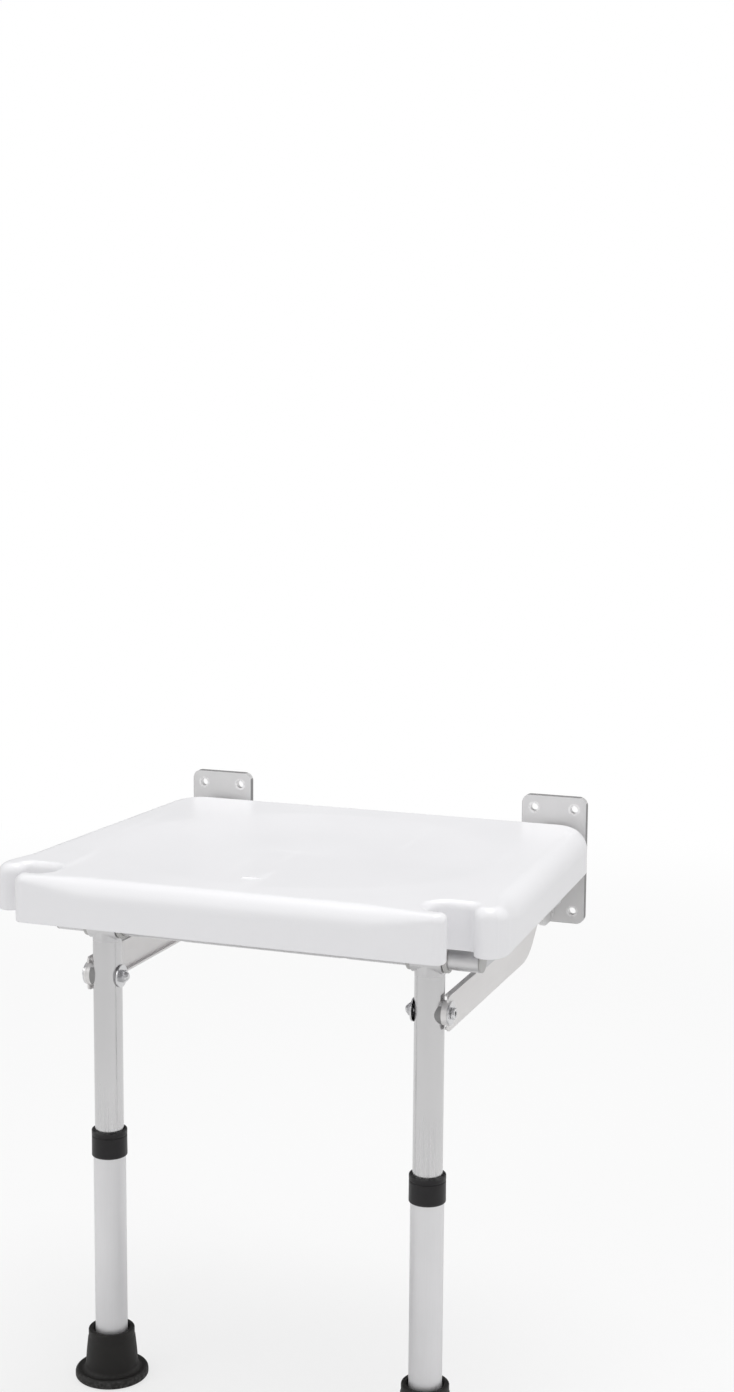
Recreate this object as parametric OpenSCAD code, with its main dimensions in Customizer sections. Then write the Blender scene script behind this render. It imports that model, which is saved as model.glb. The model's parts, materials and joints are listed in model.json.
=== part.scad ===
// Wall-mounted folding shower seat with two height-adjustable front legs.
// Units are millimetres. The origin is on the floor, midway between the sides and
// midway between the wall face and the front edge of the seat. The wall is towards +Y.

/* [Seat board] */
// Height of the seat's top face above the floor
seat_top = 475; // [455:1:500]
// Distance from the wall face to the seat's front edge
seat_reach = 397; // [385:1:410]
// Gap between the wall face and the seat's back edge
seat_gap = 16; // [16:0.5:18]
// Half width of the seat at its back edge
seat_half_back = 213.5; // [208:0.5:218]
// Half width of the seat where its sides, carried on, reach the front edge
seat_half_front = 229.7; // [224:0.1:232]
// Height of the moulded edge
seat_t = 40; // [38:0.5:41]
// Radius of the rounded top edge along the two sides
side_edge_r = 18; // [12:0.5:18]
// Radius of the rounded top edge along the front
front_edge_r = 18; // [12:0.5:18]
// Radius of the rounded top edge along the back
back_edge_r = 10; // [6:0.5:12]
// Radius of the front corners seen from above
front_corner_r = 56; // [50:1:60]
// Radius of the back corners seen from above
back_corner_r = 35; // [25:1:45]
// Thickness of the outer walls
wall_t = 4; // [3:0.1:4.5]
// Thickness of the top skin
skin_t = 5; // [4:0.1:5.2]
// Thickness of the stiffening ribs
rib_t = 3; // [2:0.1:4]
// Pitch of the ribs across the seat
rib_pitch = 45; // [42:1:48]
// Gap between the lower edge of the ribs and the lower edge of the seat
rib_rise = 2; // [1.5:0.1:4]
// Diameter of the moulded dimple near the front edge
dimple_d = 12; // [8:0.5:16]
// Distance of the dimple from the front edge
dimple_in = 66; // [55:1:80]

/* [Hose notches] */
// Half width of the front edge between the two notches
front_half = 188; // [184:0.5:190]
// Thickness of the finger in front of each notch
finger_t = 18; // [17:0.5:20]
// Width of the notch pocket from front to back
notch_w = 33; // [31:0.5:34]
// Distance of the lobe's inner face from the centre line
lobe_in = 201; // [200:0.5:202]
// Distance of the pocket's closed end from the seat's centre line
notch_in = 165.5; // [162:0.5:167]

/* [Seat frame] */
// Outer diameter of the front cross tube
cross_d = 20; // [18:0.5:21]
// Wall of the front cross tube
cross_wall = 2; // [1.5:0.1:3]
// Distance of the leg and cross tube line from the wall face
leg_out = 303.5; // [300:0.5:306]
// Depth of the cross tube's centre line below the seat top
cross_drop = 58.5; // [56:0.5:60]
// Width of each side rail
rail_w = 14; // [12:0.5:16]
// Height of each side rail
rail_h = 30; // [26:0.5:32]
// Wall of each side rail
rail_wall = 1.6; // [1.2:0.1:2.5]
// Distance of the rail's inner face from the centre line
rail_in = 178; // [178:0.5:180]
// Distance of the rail's back end from the wall face
rail_back = 50; // [49:0.5:60]
// Width of the flat bar across the back
bar_w = 25; // [20:0.5:30]
// Thickness of the flat bar across the back
bar_t = 4; // [3:0.1:4.2]
// Distance of the flat bar's middle from the wall face
bar_out = 78; // [74:0.5:90]
// Distance of the seat screws from the centre line
screw_x = 75; // [60:1:100]
// Diameter of the seat screws
screw_d = 6; // [5:0.5:6.5]

/* [Wall brackets] */
// Distance of each plate's middle from the centre line
plate_x = 172; // [171:0.5:173]
// Width of each wall plate
plate_w = 63; // [60:0.5:70]
// Height of each wall plate
plate_h = 122; // [120:1:125]
// Thickness of each wall plate
plate_t = 6; // [5:0.1:6.2]
// Corner radius of each wall plate
plate_r = 8; // [4:0.5:9]
// Height of the plate's middle below the seat top
plate_drop = 37.7; // [36:0.1:39]
// Hole spacing across the plate
hole_dx = 39; // [36:0.5:42]
// Hole spacing up the plate
hole_dz = 98; // [96:0.5:100]
// Diameter of the wall screw holes
hole_d = 7; // [5:0.5:8]
// Thickness of the pivot ear
ear_t = 5; // [4.5:0.1:5]
// Distance of the seat pivot from the wall face
pivot_out = 30; // [30:0.5:31]
// Depth of the seat pivot below the seat top
pivot_drop = 20; // [20:0.5:20.5]
// Diameter of all pivot bolts
bolt_d = 6; // [6:0.5:8]

/* [Links] */
// Distance of the leg's link pivot below the cross tube
link_drop = 47; // [46.5:0.5:47.5]
// Height of the link bar
link_h = 30; // [28:0.5:31]
// Depth of the pressed channel section
link_depth = 5.1; // [5:0.05:5.2]
// Sheet thickness of the link
link_sheet = 1.9; // [1.5:0.1:1.9]
// Reach of the link's full height past its front pivot
link_nose = 4; // [2:0.5:6]
// Radius of the link's front eye
eye_front_r = 10.4; // [9.5:0.1:11]
// Radius of the link's back eye
eye_back_r = 17; // [14:0.5:17.5]
// Distance of the link's elbow from the wall face
elbow_out = 70; // [68:0.5:75]
// Radius of the link's lower edge at the elbow
elbow_r = 55; // [40:1:58]

/* [Legs] */
// Distance of each leg from the centre line
leg_x = 148; // [147.5:0.1:148]
// Outer diameter of the upper tube
upper_d = 25.4; // [24.8:0.1:25.5]
// Wall of the upper tube
upper_wall = 1.5; // [1.2:0.1:2]
// Outer diameter of the lower tube
lower_d = 28.6; // [28.2:0.1:28.8]
// Sliding clearance on radius between the two tubes
slide_gap = 0.15; // [0.1:0.01:0.3]
// Height of the snap button above the floor
button_z = 100; // [98:1:104]
// Pitch of the height holes
hole_pitch = 20; // [19:0.5:21]
// Number of settings below the one shown
steps_down = 2; // [1:1:2]
// Number of settings above the one shown
steps_up = 4; // [2:1:4]
// Diameter of the snap button
button_d = 6.8; // [6:0.1:7]
// Height of the collar's lower edge above the floor
collar_z = 206; // [204:1:210]
// Height of the collar
collar_h = 24; // [20:0.5:26]
// Outer diameter of the collar
collar_d = 31.4; // [31:0.1:31.6]

/* [Feet] */
// Diameter of the foot's flange
foot_d = 65; // [55:1:68]
// Height of the whole foot
foot_h = 45; // [40:0.5:46]
// Thickness of the foot's flange
foot_flange = 8; // [6:0.5:10]
// Diameter of the foot's cup just above the flange
foot_cup_low_d = 47; // [44:0.5:50]
// Diameter of the foot's cup at its rim
foot_cup_top_d = 41; // [38:0.5:43]

/* [Hidden] */
$fn = 64;

// Colours of the finishes
plastic_white = [0.94, 0.93, 0.95];
satin_aluminium = [0.75, 0.75, 0.77];
anodised_light = [0.82, 0.81, 0.82];
bright_zinc = [0.82, 0.82, 0.83];
black_plastic = [0.13, 0.13, 0.14];
black_rubber = [0.10, 0.10, 0.10];
nylon_grey = [0.62, 0.61, 0.60];
spring_steel = [0.55, 0.55, 0.57];

// Small length that lets a cut run clear of a face
cut = 1;
// Running clearance on radius of a bush on its bolt or tube
run_gap = 0.05;
// Fastener clearance on radius in a drilled hole
drill_gap = 0.1;
// Side clearance between faces that turn against each other
face_gap = 0.1;

// Pivot lines, as distance from the wall and height above the floor
seat_pivot = [-pivot_out, seat_top - pivot_drop];
leg_pivot = [-leg_out, seat_top - cross_drop];
link_front = leg_pivot - [0, link_drop];
link_back = seat_pivot - [0, link_drop];

// Places across the seat, from the leg outwards
spacer_face = leg_x + upper_d / 2 + face_gap;
link_face = spacer_face + face_gap;
link_outer = link_face + link_depth;
web_face = link_outer - link_sheet;
ear_gap = 0.6;
ear_in = link_outer + ear_gap;
ear_out = ear_in + ear_t;
lug_t = 5;
lug_in = rail_in - lug_t;

// Bolt and nut sizes
head_r = bolt_d * 0.83;
head_h = 3.4;
tall_head_h = 4.6;
socket_r = 2.4;
socket_deep = 2.2;
nut_r = bolt_d * 0.92;
nut_h = 5;
washer_r = 9.3;
broad_washer_r = 10;
washer_t = 1.4;
thread_out = 1.2;
bush_wall = 1.5;
bush_r = bolt_d / 2 + run_gap + bush_wall;

// Heights of the seat board
seat_low = seat_top - seat_t;
rib_low = seat_low + rib_rise;
skin_low = seat_top - skin_t;
rail_top = rib_low;
rail_low = rail_top - rail_h;
rail_mid_x = rail_in + rail_w / 2;
rail_front = leg_out - cross_d / 2 + 5;
tube_end = rail_in + rail_w;
plug_in = 10;
cap_t = 2;

// Seat screws, whose front pair has its heads inside the cross tube
screw_head_r = screw_d * 0.92;
screw_head_h = 3.6;
tube_in_r = cross_d / 2 - cross_wall;
front_screw_z = leg_pivot[1] + sqrt(pow(tube_in_r, 2) - pow(screw_head_r, 2)) - run_gap;

// Lug plate, from the seat pivot to the rail
lug_r = 11;
lug_foot_r = 12;
lug_near = 60;
lug_far = 100;
lug_z = rail_low + 17;

// Tubes of the legs
upper_r = upper_d / 2;
upper_in = upper_r - upper_wall;
lower_r = lower_d / 2;
lower_in = upper_r + slide_gap;
upper_low = button_z - 20;
liner_t = 1.2;
head_wall = 3;
liner_r = cross_d / 2 + run_gap + liner_t;
head_r_out = liner_r + head_wall;
head_w = 27;
upper_top = leg_pivot[1] - head_r_out - 1;
disc_t = 2;
lower_low = foot_flange + disc_t;
collar_lip = 6;
lower_top = collar_z + collar_h - collar_lip;
button_out = 2;
button_press = 5;

// Corners of the seat seen from above, without its notches, as x, distance from the
// wall, corner radius and top edge radius of the side that starts there
mouth_flare = 28;
mouth_far = 60;
lobe_tip = 6.9;
lobe_slant = [38.1, 54.4];
finger_back = seat_reach - finger_t;
pocket_back = finger_back - notch_w;
seat_corners = [
    [seat_half_front, -seat_reach, front_corner_r, side_edge_r],
    [seat_half_back, -seat_gap, back_corner_r, back_edge_r],
    [-seat_half_back, -seat_gap, back_corner_r, side_edge_r],
    [-seat_half_front, -seat_reach, front_corner_r, front_edge_r]
];

// Corners of the right notch: finger, pocket, lobe and the open mouth in front
notch_corners = [
    [front_half - mouth_flare, -(seat_reach + 3.2), 0.4],
    [front_half, -(seat_reach - 1.7), 8],
    [front_half, -finger_back, 6],
    [notch_in, -finger_back, 15],
    [notch_in, -pocket_back, 15],
    [lobe_in, -pocket_back, 7],
    [lobe_in, -(seat_reach - lobe_tip), 11.5],
    [lobe_in + lobe_slant[0], -(seat_reach - lobe_tip - lobe_slant[1]), 0.4],
    [lobe_in + mouth_far, -(seat_reach + mouth_far), 0.4],
    [front_half - mouth_flare, -(seat_reach + mouth_far), 0.4]
];

function flat(p) = [p[0], p[1]];
function unit(v) = v / norm(v);
function left_of(v) = [-v[1], v[0]];
function turned(v, a) = [v[0] * cos(a) - v[1] * sin(a), v[0] * sin(a) + v[1] * cos(a)];
function before(i, n) = (i + n - 1) % n;

// A polygon with rounded corners, each side moved to its left by its own distance
function rounded(corners, d, steps) = [
    for (i = [0 : len(corners) - 1])
        let (
            n = len(corners),
            here = flat(corners[i]),
            u1 = unit(here - flat(corners[before(i, n)])),
            u2 = unit(flat(corners[(i + 1) % n]) - here),
            n1 = left_of(u1),
            n2 = left_of(u2),
            d1 = d[before(i, n)],
            d2 = d[i],
            bend = atan2(cross(u1, u2), u1 * u2),
            side = bend > 0 ? 1 : -1,
            r = max(corners[i][2] - side * (d1 + d2) / 2, 0.2),
            at = here + n1 * d1 + u1 * (d2 - d1 * (n1 * n2)) / (u1 * n2),
            centre = at - u1 * r * tan(abs(bend) / 2) + n1 * r * side,
            parts = corners[i][2] < 1 ? 1 : steps
        )
        for (k = [0 : parts])
            centre + turned(-n1 * r * side, bend * k / parts)
];

corner_steps = 10;
edge_radii = [for (c = seat_corners) c[3]];
function outline(d) = rounded(seat_corners, [for (c = seat_corners) d], corner_steps);
function notch_edge(d) = rounded(notch_corners, [for (c = notch_corners) d], corner_steps);

// The top edge radius at every point of the outline, blended round the corners
function blended_radii() = [
    for (i = [0 : len(edge_radii) - 1])
        for (k = [0 : corner_steps])
            let (first = edge_radii[before(i, len(edge_radii))])
            first + (edge_radii[i] - first) * k / corner_steps
];

// One ring of the seat's outer skin, a degrees up the rounded top edge
function top_ring(a) =
    let (
        flat_ring = rounded(seat_corners, edge_radii * (1 - cos(a)), corner_steps),
        radii = blended_radii()
    )
    [for (i = [0 : len(flat_ring) - 1])
        [flat_ring[i][0], flat_ring[i][1], seat_top - radii[i] * (1 - sin(a))]];

function level_ring(z, d) = [for (p = outline(d)) [p[0], p[1], z]];

// A closed skin through rings of points
module ring_stack(rings) {
    n = len(rings[0]);
    last = len(rings) - 1;
    points = [for (r = rings) each r];
    sides = [for (j = [0 : last - 1]) for (i = [0 : n - 1])
        let (k = (i + 1) % n)
        each [[j * n + i, (j + 1) * n + i, (j + 1) * n + k],
              [j * n + i, (j + 1) * n + k, j * n + k]]];
    bottom = [for (i = [0 : n - 1]) i];
    top = [for (i = [n - 1 : -1 : 0]) last * n + i];
    polyhedron(points = points, faces = concat(sides, [bottom], [top]), convexity = 10);
}

// Everything is drawn from the wall face and then moved to the origin
module place() {
    translate([0, seat_reach / 2, 0]) children();
}

module on_side(side) {
    place() mirror([side < 0 ? 1 : 0, 0, 0]) children();
}

module on_both_sides() {
    for (side = [-1, 1]) on_side(side) children();
}

// A flat shape drawn as distance from the wall and height, given its width along X
module along_x(x0, x1) {
    translate([x0, 0, 0]) rotate([90, 0, 90]) linear_extrude(x1 - x0) children();
}

// A rod along X through a point given as distance from the wall and height
module rod_x(x0, x1, at, r, sides = 64) {
    translate([x0, at[0], at[1]]) rotate([0, 90, 0]) cylinder(h = x1 - x0, r = r, $fn = sides);
}

// A straight strip with its sides tangent to a circle at each end
module strip(p, r, q, s) {
    gap = norm(q - p);
    along = (q - p) / gap;
    lean = acos((r - s) / gap);
    a = turned(along, lean);
    b = turned(along, -lean);
    translate(p) circle(r = r);
    translate(q) circle(r = s);
    polygon([p + a * r, p + b * r, q + b * s, q + a * s]);
}

// A bolt head with a hexagon socket, its flat face at x and its top towards +X or -X
module bolt_head(x, at, way, h) {
    far = x + way * h;
    difference() {
        rod_x(min(x, far), max(x, far), at, head_r);
        rod_x(min(far - way * socket_deep, far + way * cut),
              max(far - way * socket_deep, far + way * cut), at, socket_r, 6);
    }
}

// Wall bracket: plate and pivot ear in one piece
module bracket_shape() {
    mid_z = seat_top - plate_drop;
    half_w = plate_w / 2;
    half_h = plate_h / 2;
    root_top = seat_pivot[1] - 17;
    root_low = mid_z - half_h + 1;
    ear_front = pivot_out + 8;
    difference() {
        union() {
            for (grow = [[0, plate_r], [plate_r, 0]])
                translate([plate_x - half_w + grow[0], -plate_t, mid_z - half_h + grow[1]])
                    cube([plate_w - 2 * grow[0], plate_t, plate_h - 2 * grow[1]]);
            for (dx = [-1, 1], dz = [-1, 1])
                translate([plate_x + dx * (half_w - plate_r), 0, mid_z + dz * (half_h - plate_r)])
                    rotate([90, 0, 0]) cylinder(h = plate_t, r = plate_r);
            along_x(ear_in, ear_out) {
                translate(seat_pivot) circle(r = 12);
                translate(link_back) circle(r = 13);
                translate([seat_pivot[0] - 12, link_back[1]]) square([24, link_drop]);
                translate([-ear_front, root_low + 12])
                    square([ear_front - plate_t / 2, root_top - root_low - 12]);
                translate([-ear_front + 12, root_low])
                    square([ear_front - 12 - plate_t / 2, root_top - root_low]);
                translate([-ear_front + 12, root_low + 12]) circle(r = 12);
            }
        }
        for (dx = [-1, 1], dz = [-1, 1])
            translate([plate_x + dx * hole_dx / 2, cut, mid_z + dz * hole_dz / 2])
                rotate([90, 0, 0]) cylinder(h = plate_t + 2 * cut, d = hole_d);
        for (at = [seat_pivot, link_back])
            rod_x(ear_in - cut, ear_out + cut, at, bolt_d / 2 + drill_gap);
    }
}

module left_wall_bracket() { color(satin_aluminium) on_side(-1) bracket_shape(); }
module right_wall_bracket() { color(satin_aluminium) on_side(1) bracket_shape(); }

// Bolts of the seat hinge, head inside and thread outside
module seat_hinge_bolts() {
    color(bright_zinc) on_both_sides() {
        bolt_head(ear_in, seat_pivot, -1, tall_head_h);
        rod_x(ear_in - cut, rail_in + washer_t + nut_h + 1, seat_pivot, bolt_d / 2);
    }
}

module seat_hinge_nuts() {
    color(bright_zinc) on_both_sides() difference() {
        rod_x(rail_in + washer_t, rail_in + washer_t + nut_h, seat_pivot, nut_r, 6);
        rod_x(rail_in, rail_in + washer_t + nut_h + cut, seat_pivot, bolt_d / 2);
    }
}

// One washer inside the lug and one under the nut
module seat_hinge_washers() {
    color(nylon_grey) on_both_sides() difference() {
        union() {
            rod_x(ear_out, lug_in - face_gap, seat_pivot, washer_r);
            rod_x(rail_in + face_gap, rail_in + washer_t, seat_pivot, washer_r);
        }
        rod_x(ear_out - cut, rail_in + washer_t + cut, seat_pivot, bolt_d / 2);
    }
}

// Bolts that carry the back eyes of the links
module link_hinge_bolts() {
    color(bright_zinc) on_both_sides() {
        bolt_head(web_face - washer_t - face_gap, link_back, -1, tall_head_h);
        rod_x(web_face - washer_t - cut, ear_out + washer_t + nut_h + 1, link_back, bolt_d / 2);
    }
}

module link_hinge_nuts() {
    color(bright_zinc) on_both_sides() difference() {
        rod_x(ear_out + washer_t, ear_out + washer_t + nut_h, link_back, nut_r, 6);
        rod_x(ear_out, ear_out + washer_t + nut_h + cut, link_back, bolt_d / 2);
    }
}

module link_hinge_washers() {
    color(nylon_grey) on_both_sides() difference() {
        union() {
            rod_x(web_face - washer_t - face_gap, web_face - face_gap, link_back, washer_r);
            rod_x(link_outer + face_gap, ear_in, link_back, washer_r);
            rod_x(ear_out, ear_out + washer_t, link_back, washer_r);
        }
        rod_x(web_face - washer_t - cut, ear_out + washer_t + cut, link_back, bolt_d / 2);
    }
}

// Places of the four seat screws: beside the cross tube's middle and on the back bar
screw_places = [for (side = [-1, 1], out = [leg_out, bar_out]) [side * screw_x, -out]];
boss_r = 8;
pilot_r = screw_d / 2 + run_gap;
screw_deep = 18;
pocket_in = ear_in - tall_head_h - 2;
pocket_out = rail_in + washer_t + nut_h + 3;
pocket_front = lug_far + lug_foot_r + 3;
slot_front = pivot_out + 16;

// The seat board's hollow: straight walls to a shoulder, then a smaller upper part
shoulder = seat_top - side_edge_r - 3;

module both_notches(d) {
    for (side = [0, 1]) mirror([side, 0]) polygon(notch_edge(d));
}

module seat_hollow(low, grow) {
    inset = 14 - grow;
    chamfer = 26;
    back = seat_gap + inset;
    front = seat_reach - 15 + grow;
    lobe_front = seat_reach - lobe_tip - lobe_slant[1] + grow;
    wide_front = seat_half_front - inset - 1;
    wide_back = seat_half_back - inset;
    middle = notch_in - 9 + grow;
    translate([0, 0, low]) {
        linear_extrude(shoulder - low + grow) difference() {
            polygon(outline(wall_t - grow));
            both_notches(wall_t - grow);
        }
        linear_extrude(skin_low - low + grow) {
            polygon([[-wide_front, -lobe_front], [wide_front, -lobe_front],
                [wide_back, -back - chamfer], [wide_back - chamfer, -back],
                [chamfer - wide_back, -back], [-wide_back, -back - chamfer]]);
            translate([-middle, -front]) square([2 * middle, front - lobe_front + cut]);
        }
    }
}

module seat_ribs() {
    intersection() {
        seat_hollow(rib_low, 0.5);
        translate([0, 0, rib_low]) {
            for (i = [-4 : 4])
                translate([i * rib_pitch - rib_t / 2, -seat_reach, 0])
                    cube([rib_t, seat_reach, seat_t]);
            for (i = [-1 : 6])
                translate([-seat_half_front, -bar_out - i * rib_pitch - rib_t / 2, 0])
                    cube([2 * seat_half_front, rib_t, seat_t]);
            for (p = screw_places) translate([p[0], p[1], 0]) cylinder(h = seat_t, r = boss_r);
        }
    }
}

// Seat board: a rounded shell, open below, with ribs and screw bosses
module seat_board() {
    bend = 6;
    rim = 1.2;
    rings = concat([level_ring(seat_low, rim), level_ring(seat_low + rim, 0)],
        [for (k = [0 : bend]) top_ring(90 * k / bend)]);
    color(plastic_white) place() difference() {
        union() {
            difference() {
                ring_stack(rings);
                seat_hollow(seat_low - cut, 0);
            }
            seat_ribs();
        }
        translate([0, 0, seat_low - cut]) linear_extrude(seat_t + 2 * cut) both_notches(0);
        for (side = [-1, 1]) mirror([side < 0 ? 1 : 0, 0, 0]) {
            translate([pocket_in, -slot_front, seat_low - cut])
                cube([pocket_out - pocket_in, slot_front, seat_t - skin_t + cut]);
            translate([pocket_in, -pocket_front, seat_low - cut])
                cube([rail_in + 1 - pocket_in, pocket_front, seat_t - skin_t + cut]);
        }
        for (p = screw_places) translate([p[0], p[1], rib_low - cut])
            cylinder(h = screw_deep + cut, r = pilot_r);
        translate([0, -(seat_reach - dimple_in), seat_top - 1]) cylinder(h = 2, d = dimple_d);
    }
}

module front_cross_tube() {
    color(satin_aluminium) place() difference() {
        rod_x(-tube_end, tube_end, leg_pivot, cross_d / 2);
        rod_x(-tube_end - cut, tube_end + cut, leg_pivot, tube_in_r);
        for (side = [-1, 1]) translate([side * screw_x, -leg_out, leg_pivot[1]]) {
            cylinder(h = cross_d, r = screw_d / 2 + drill_gap);
            translate([0, 0, -cross_d]) cylinder(h = cross_d, r = screw_head_r + drill_gap);
        }
    }
}

// Side rail: its front end is closed and shaped to fit the cross tube
module rail_shape() {
    difference() {
        translate([rail_in, -rail_front, rail_low])
            cube([rail_w, rail_front - rail_back, rail_h]);
        difference() {
            translate([rail_in + rail_wall, -rail_front + rail_wall, rail_low + rail_wall])
                cube([rail_w - 2 * rail_wall, rail_front, rail_h - 2 * rail_wall]);
            rod_x(rail_in, tube_end, leg_pivot, cross_d / 2 + rail_wall);
        }
        rod_x(rail_in - cut, tube_end + cut, leg_pivot, cross_d / 2);
    }
}

module left_side_rail() { color(satin_aluminium) on_side(-1) rail_shape(); }
module right_side_rail() { color(satin_aluminium) on_side(1) rail_shape(); }

// Plastic plugs in the back ends of the rails
module rail_end_plugs() {
    color(nylon_grey) on_both_sides() {
        translate([rail_in, -rail_back, rail_low]) cube([rail_w, cap_t, rail_h]);
        translate([rail_in + rail_wall, -rail_back - plug_in, rail_low + rail_wall])
            cube([rail_w - 2 * rail_wall, plug_in, rail_h - 2 * rail_wall]);
    }
}

// Plastic plugs in the ends of the cross tube
module tube_end_plugs() {
    color(nylon_grey) on_both_sides() {
        rod_x(tube_end, tube_end + cap_t, leg_pivot, cross_d / 2);
        rod_x(tube_end - plug_in, tube_end, leg_pivot, tube_in_r);
    }
}

module rear_cross_bar() {
    color(satin_aluminium) place() difference() {
        translate([-rail_in, -bar_out - bar_w / 2, rail_top - bar_t])
            cube([2 * rail_in, bar_w, bar_t]);
        for (side = [-1, 1]) translate([side * screw_x, -bar_out, rail_top - bar_t - cut])
            cylinder(h = bar_t + 2 * cut, r = screw_d / 2 + drill_gap);
    }
}

// Lug plate welded to the rail, with the bush of the seat hinge
module lug_shape() {
    difference() {
        along_x(lug_in, rail_in) {
            strip(seat_pivot, lug_r, [-lug_near, lug_z], lug_foot_r);
            strip([-lug_near, lug_z], lug_foot_r, [-lug_far, lug_z], lug_foot_r);
        }
        rod_x(lug_in - cut, rail_in + cut, seat_pivot, bush_r);
        translate([lug_in - cut, -lug_far - lug_foot_r - cut, rail_top])
            cube([lug_t + 2 * cut, lug_far + lug_foot_r - bar_out + cut + bar_w / 2, seat_t]);
        translate([lug_in - cut, -bar_out - bar_w / 2, rail_top - bar_t])
            cube([lug_t + 2 * cut, bar_w, seat_t]);
    }
}

module left_hinge_lug() { color(satin_aluminium) on_side(-1) lug_shape(); }
module right_hinge_lug() { color(satin_aluminium) on_side(1) lug_shape(); }

module seat_hinge_bushes() {
    color(nylon_grey) on_both_sides() difference() {
        rod_x(lug_in, rail_in, seat_pivot, bush_r);
        rod_x(lug_in - cut, rail_in + cut, seat_pivot, bolt_d / 2 + run_gap);
    }
}

// Plastic blocks between the cross tube and the seat board
module saddle_blocks() {
    block_w = 22;
    block_d = 26;
    color(plastic_white) on_both_sides() difference() {
        translate([screw_x - block_w / 2, -leg_out - block_d / 2, leg_pivot[1] + 1])
            cube([block_w, block_d, rib_low - leg_pivot[1] - 1]);
        rod_x(screw_x - block_w, screw_x + block_w, leg_pivot, cross_d / 2);
        translate([screw_x, -leg_out, leg_pivot[1]])
            cylinder(h = seat_t, r = screw_d / 2 + drill_gap);
    }
}

// A round-headed screw, head below, with its head's upper face at z
module seat_screw(z, top) {
    translate([screw_x, 0, z]) {
        cylinder(h = top - z, r = screw_d / 2);
        difference() {
            translate([0, 0, -screw_head_h]) cylinder(h = screw_head_h, r = screw_head_r);
            translate([0, 0, -screw_head_h - cut])
                cylinder(h = 2 + cut, r = screw_d * 0.42, $fn = 6);
        }
    }
}

module front_seat_screws() {
    color(bright_zinc) on_both_sides() translate([0, -leg_out, 0])
        seat_screw(front_screw_z, rib_low + screw_deep - 1);
}

module rear_seat_screws() {
    color(bright_zinc) on_both_sides() translate([0, -bar_out, 0])
        seat_screw(rail_top - bar_t, rib_low + screw_deep - 1);
}

// Rings on the cross tube that keep each leg head in place
module leg_locating_rings() {
    ring_w = 4;
    color(nylon_grey) on_both_sides() difference() {
        for (x = [leg_x - head_w / 2 - 0.3 - ring_w, leg_x + head_w / 2 + 0.3])
            rod_x(x, x + ring_w, leg_pivot, cross_d / 2 + 3);
        rod_x(leg_x - head_w, leg_x + head_w, leg_pivot, cross_d / 2);
    }
}

// Points of an arc about c from one angle to another
function arc(c, r, from, to, steps = 10) = [for (k = [0 : steps])
    let (a = from + (to - from) * k / steps) c + r * [cos(a), sin(a)]];

// Link: a pressed channel with a straight bar, an elbow and two eyes
module link_shape() {
    half = link_h / 2;
    bar_front = link_front[0] - link_nose;
    elbow = [-elbow_out, link_front[1]];
    flange_back = -elbow_out - 18;
    corner = 3;
    tongue = acos((bar_front - link_front[0]) / eye_front_r);
    lean = atan2(link_back[1] - elbow[1], link_back[0] - elbow[0]);
    widen = asin((eye_back_r - half) / norm(link_back - elbow));
    turn = lean - 90 - widen;
    bend = elbow + (elbow_r - half) * [-(1 + sin(turn)) / cos(turn), 1];
    edge = concat(
        arc([bar_front + corner, elbow[1] - half + corner], corner, 270, 180, 4),
        arc(link_front, eye_front_r, 360 - tongue, tongue, 12),
        arc([bar_front + corner, elbow[1] + half - corner], corner, 180, 90, 4),
        [elbow + half * [-tan(lean / 2), 1]],
        arc(link_back, eye_back_r, lean + 90 + widen, turn, 20),
        arc(bend, elbow_r, turn, -90, 8));
    difference() {
        union() {
            along_x(web_face, link_outer) polygon(edge);
            rod_x(link_face, web_face + link_sheet / 2, link_front, eye_front_r - 0.1);
            for (z = [elbow[1] - half, elbow[1] + half - link_sheet])
                translate([link_face, bar_front + 2 * corner, z])
                    cube([link_depth - link_sheet / 2, flange_back - bar_front - 2 * corner,
                        link_sheet]);
        }
        for (at = [link_front, link_back])
            rod_x(link_face - cut, link_outer + cut, at, bush_r);
    }
}

module left_link() { color(anodised_light) on_side(-1) link_shape(); }
module right_link() { color(anodised_light) on_side(1) link_shape(); }

module link_bushes() {
    for (b = [[link_face, link_front], [web_face, link_back]]) difference() {
        rod_x(b[0], link_outer, b[1], bush_r);
        rod_x(b[0] - cut, link_outer + cut, b[1], bolt_d / 2 + run_gap);
    }
}

module left_link_bushes() { color(nylon_grey) on_side(-1) link_bushes(); }
module right_link_bushes() { color(nylon_grey) on_side(1) link_bushes(); }

// Upper tube with the cross hole of the link bolt and the hole of the button
module upper_tube_shape() {
    difference() {
        translate([leg_x, -leg_out, upper_low]) cylinder(h = upper_top - upper_low, r = upper_r);
        translate([leg_x, -leg_out, upper_low - cut])
            cylinder(h = upper_top - upper_low + 2 * cut, r = upper_in);
        rod_x(leg_x - upper_d, leg_x + upper_d, link_front, bolt_d / 2 + drill_gap);
        translate([leg_x, -leg_out, button_z]) rotate([-90, 0, 0])
            cylinder(h = upper_d, r = button_d / 2 + drill_gap);
    }
}

module left_upper_tube() { color(satin_aluminium) on_side(-1) upper_tube_shape(); }
module right_upper_tube() { color(satin_aluminium) on_side(1) upper_tube_shape(); }

// Head of the leg: a sleeve on the cross tube with a spigot that fits the upper tube
module leg_head_shape() {
    spigot = 22;
    difference() {
        union() {
            rod_x(leg_x - head_w / 2, leg_x + head_w / 2, leg_pivot, head_r_out);
            translate([leg_x, -leg_out, upper_top])
                cylinder(h = head_r_out, r = upper_r);
            translate([leg_x, -leg_out, upper_top - spigot])
                cylinder(h = spigot + cut, r = upper_in);
        }
        rod_x(leg_x - head_w, leg_x + head_w, leg_pivot, liner_r);
    }
}

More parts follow.
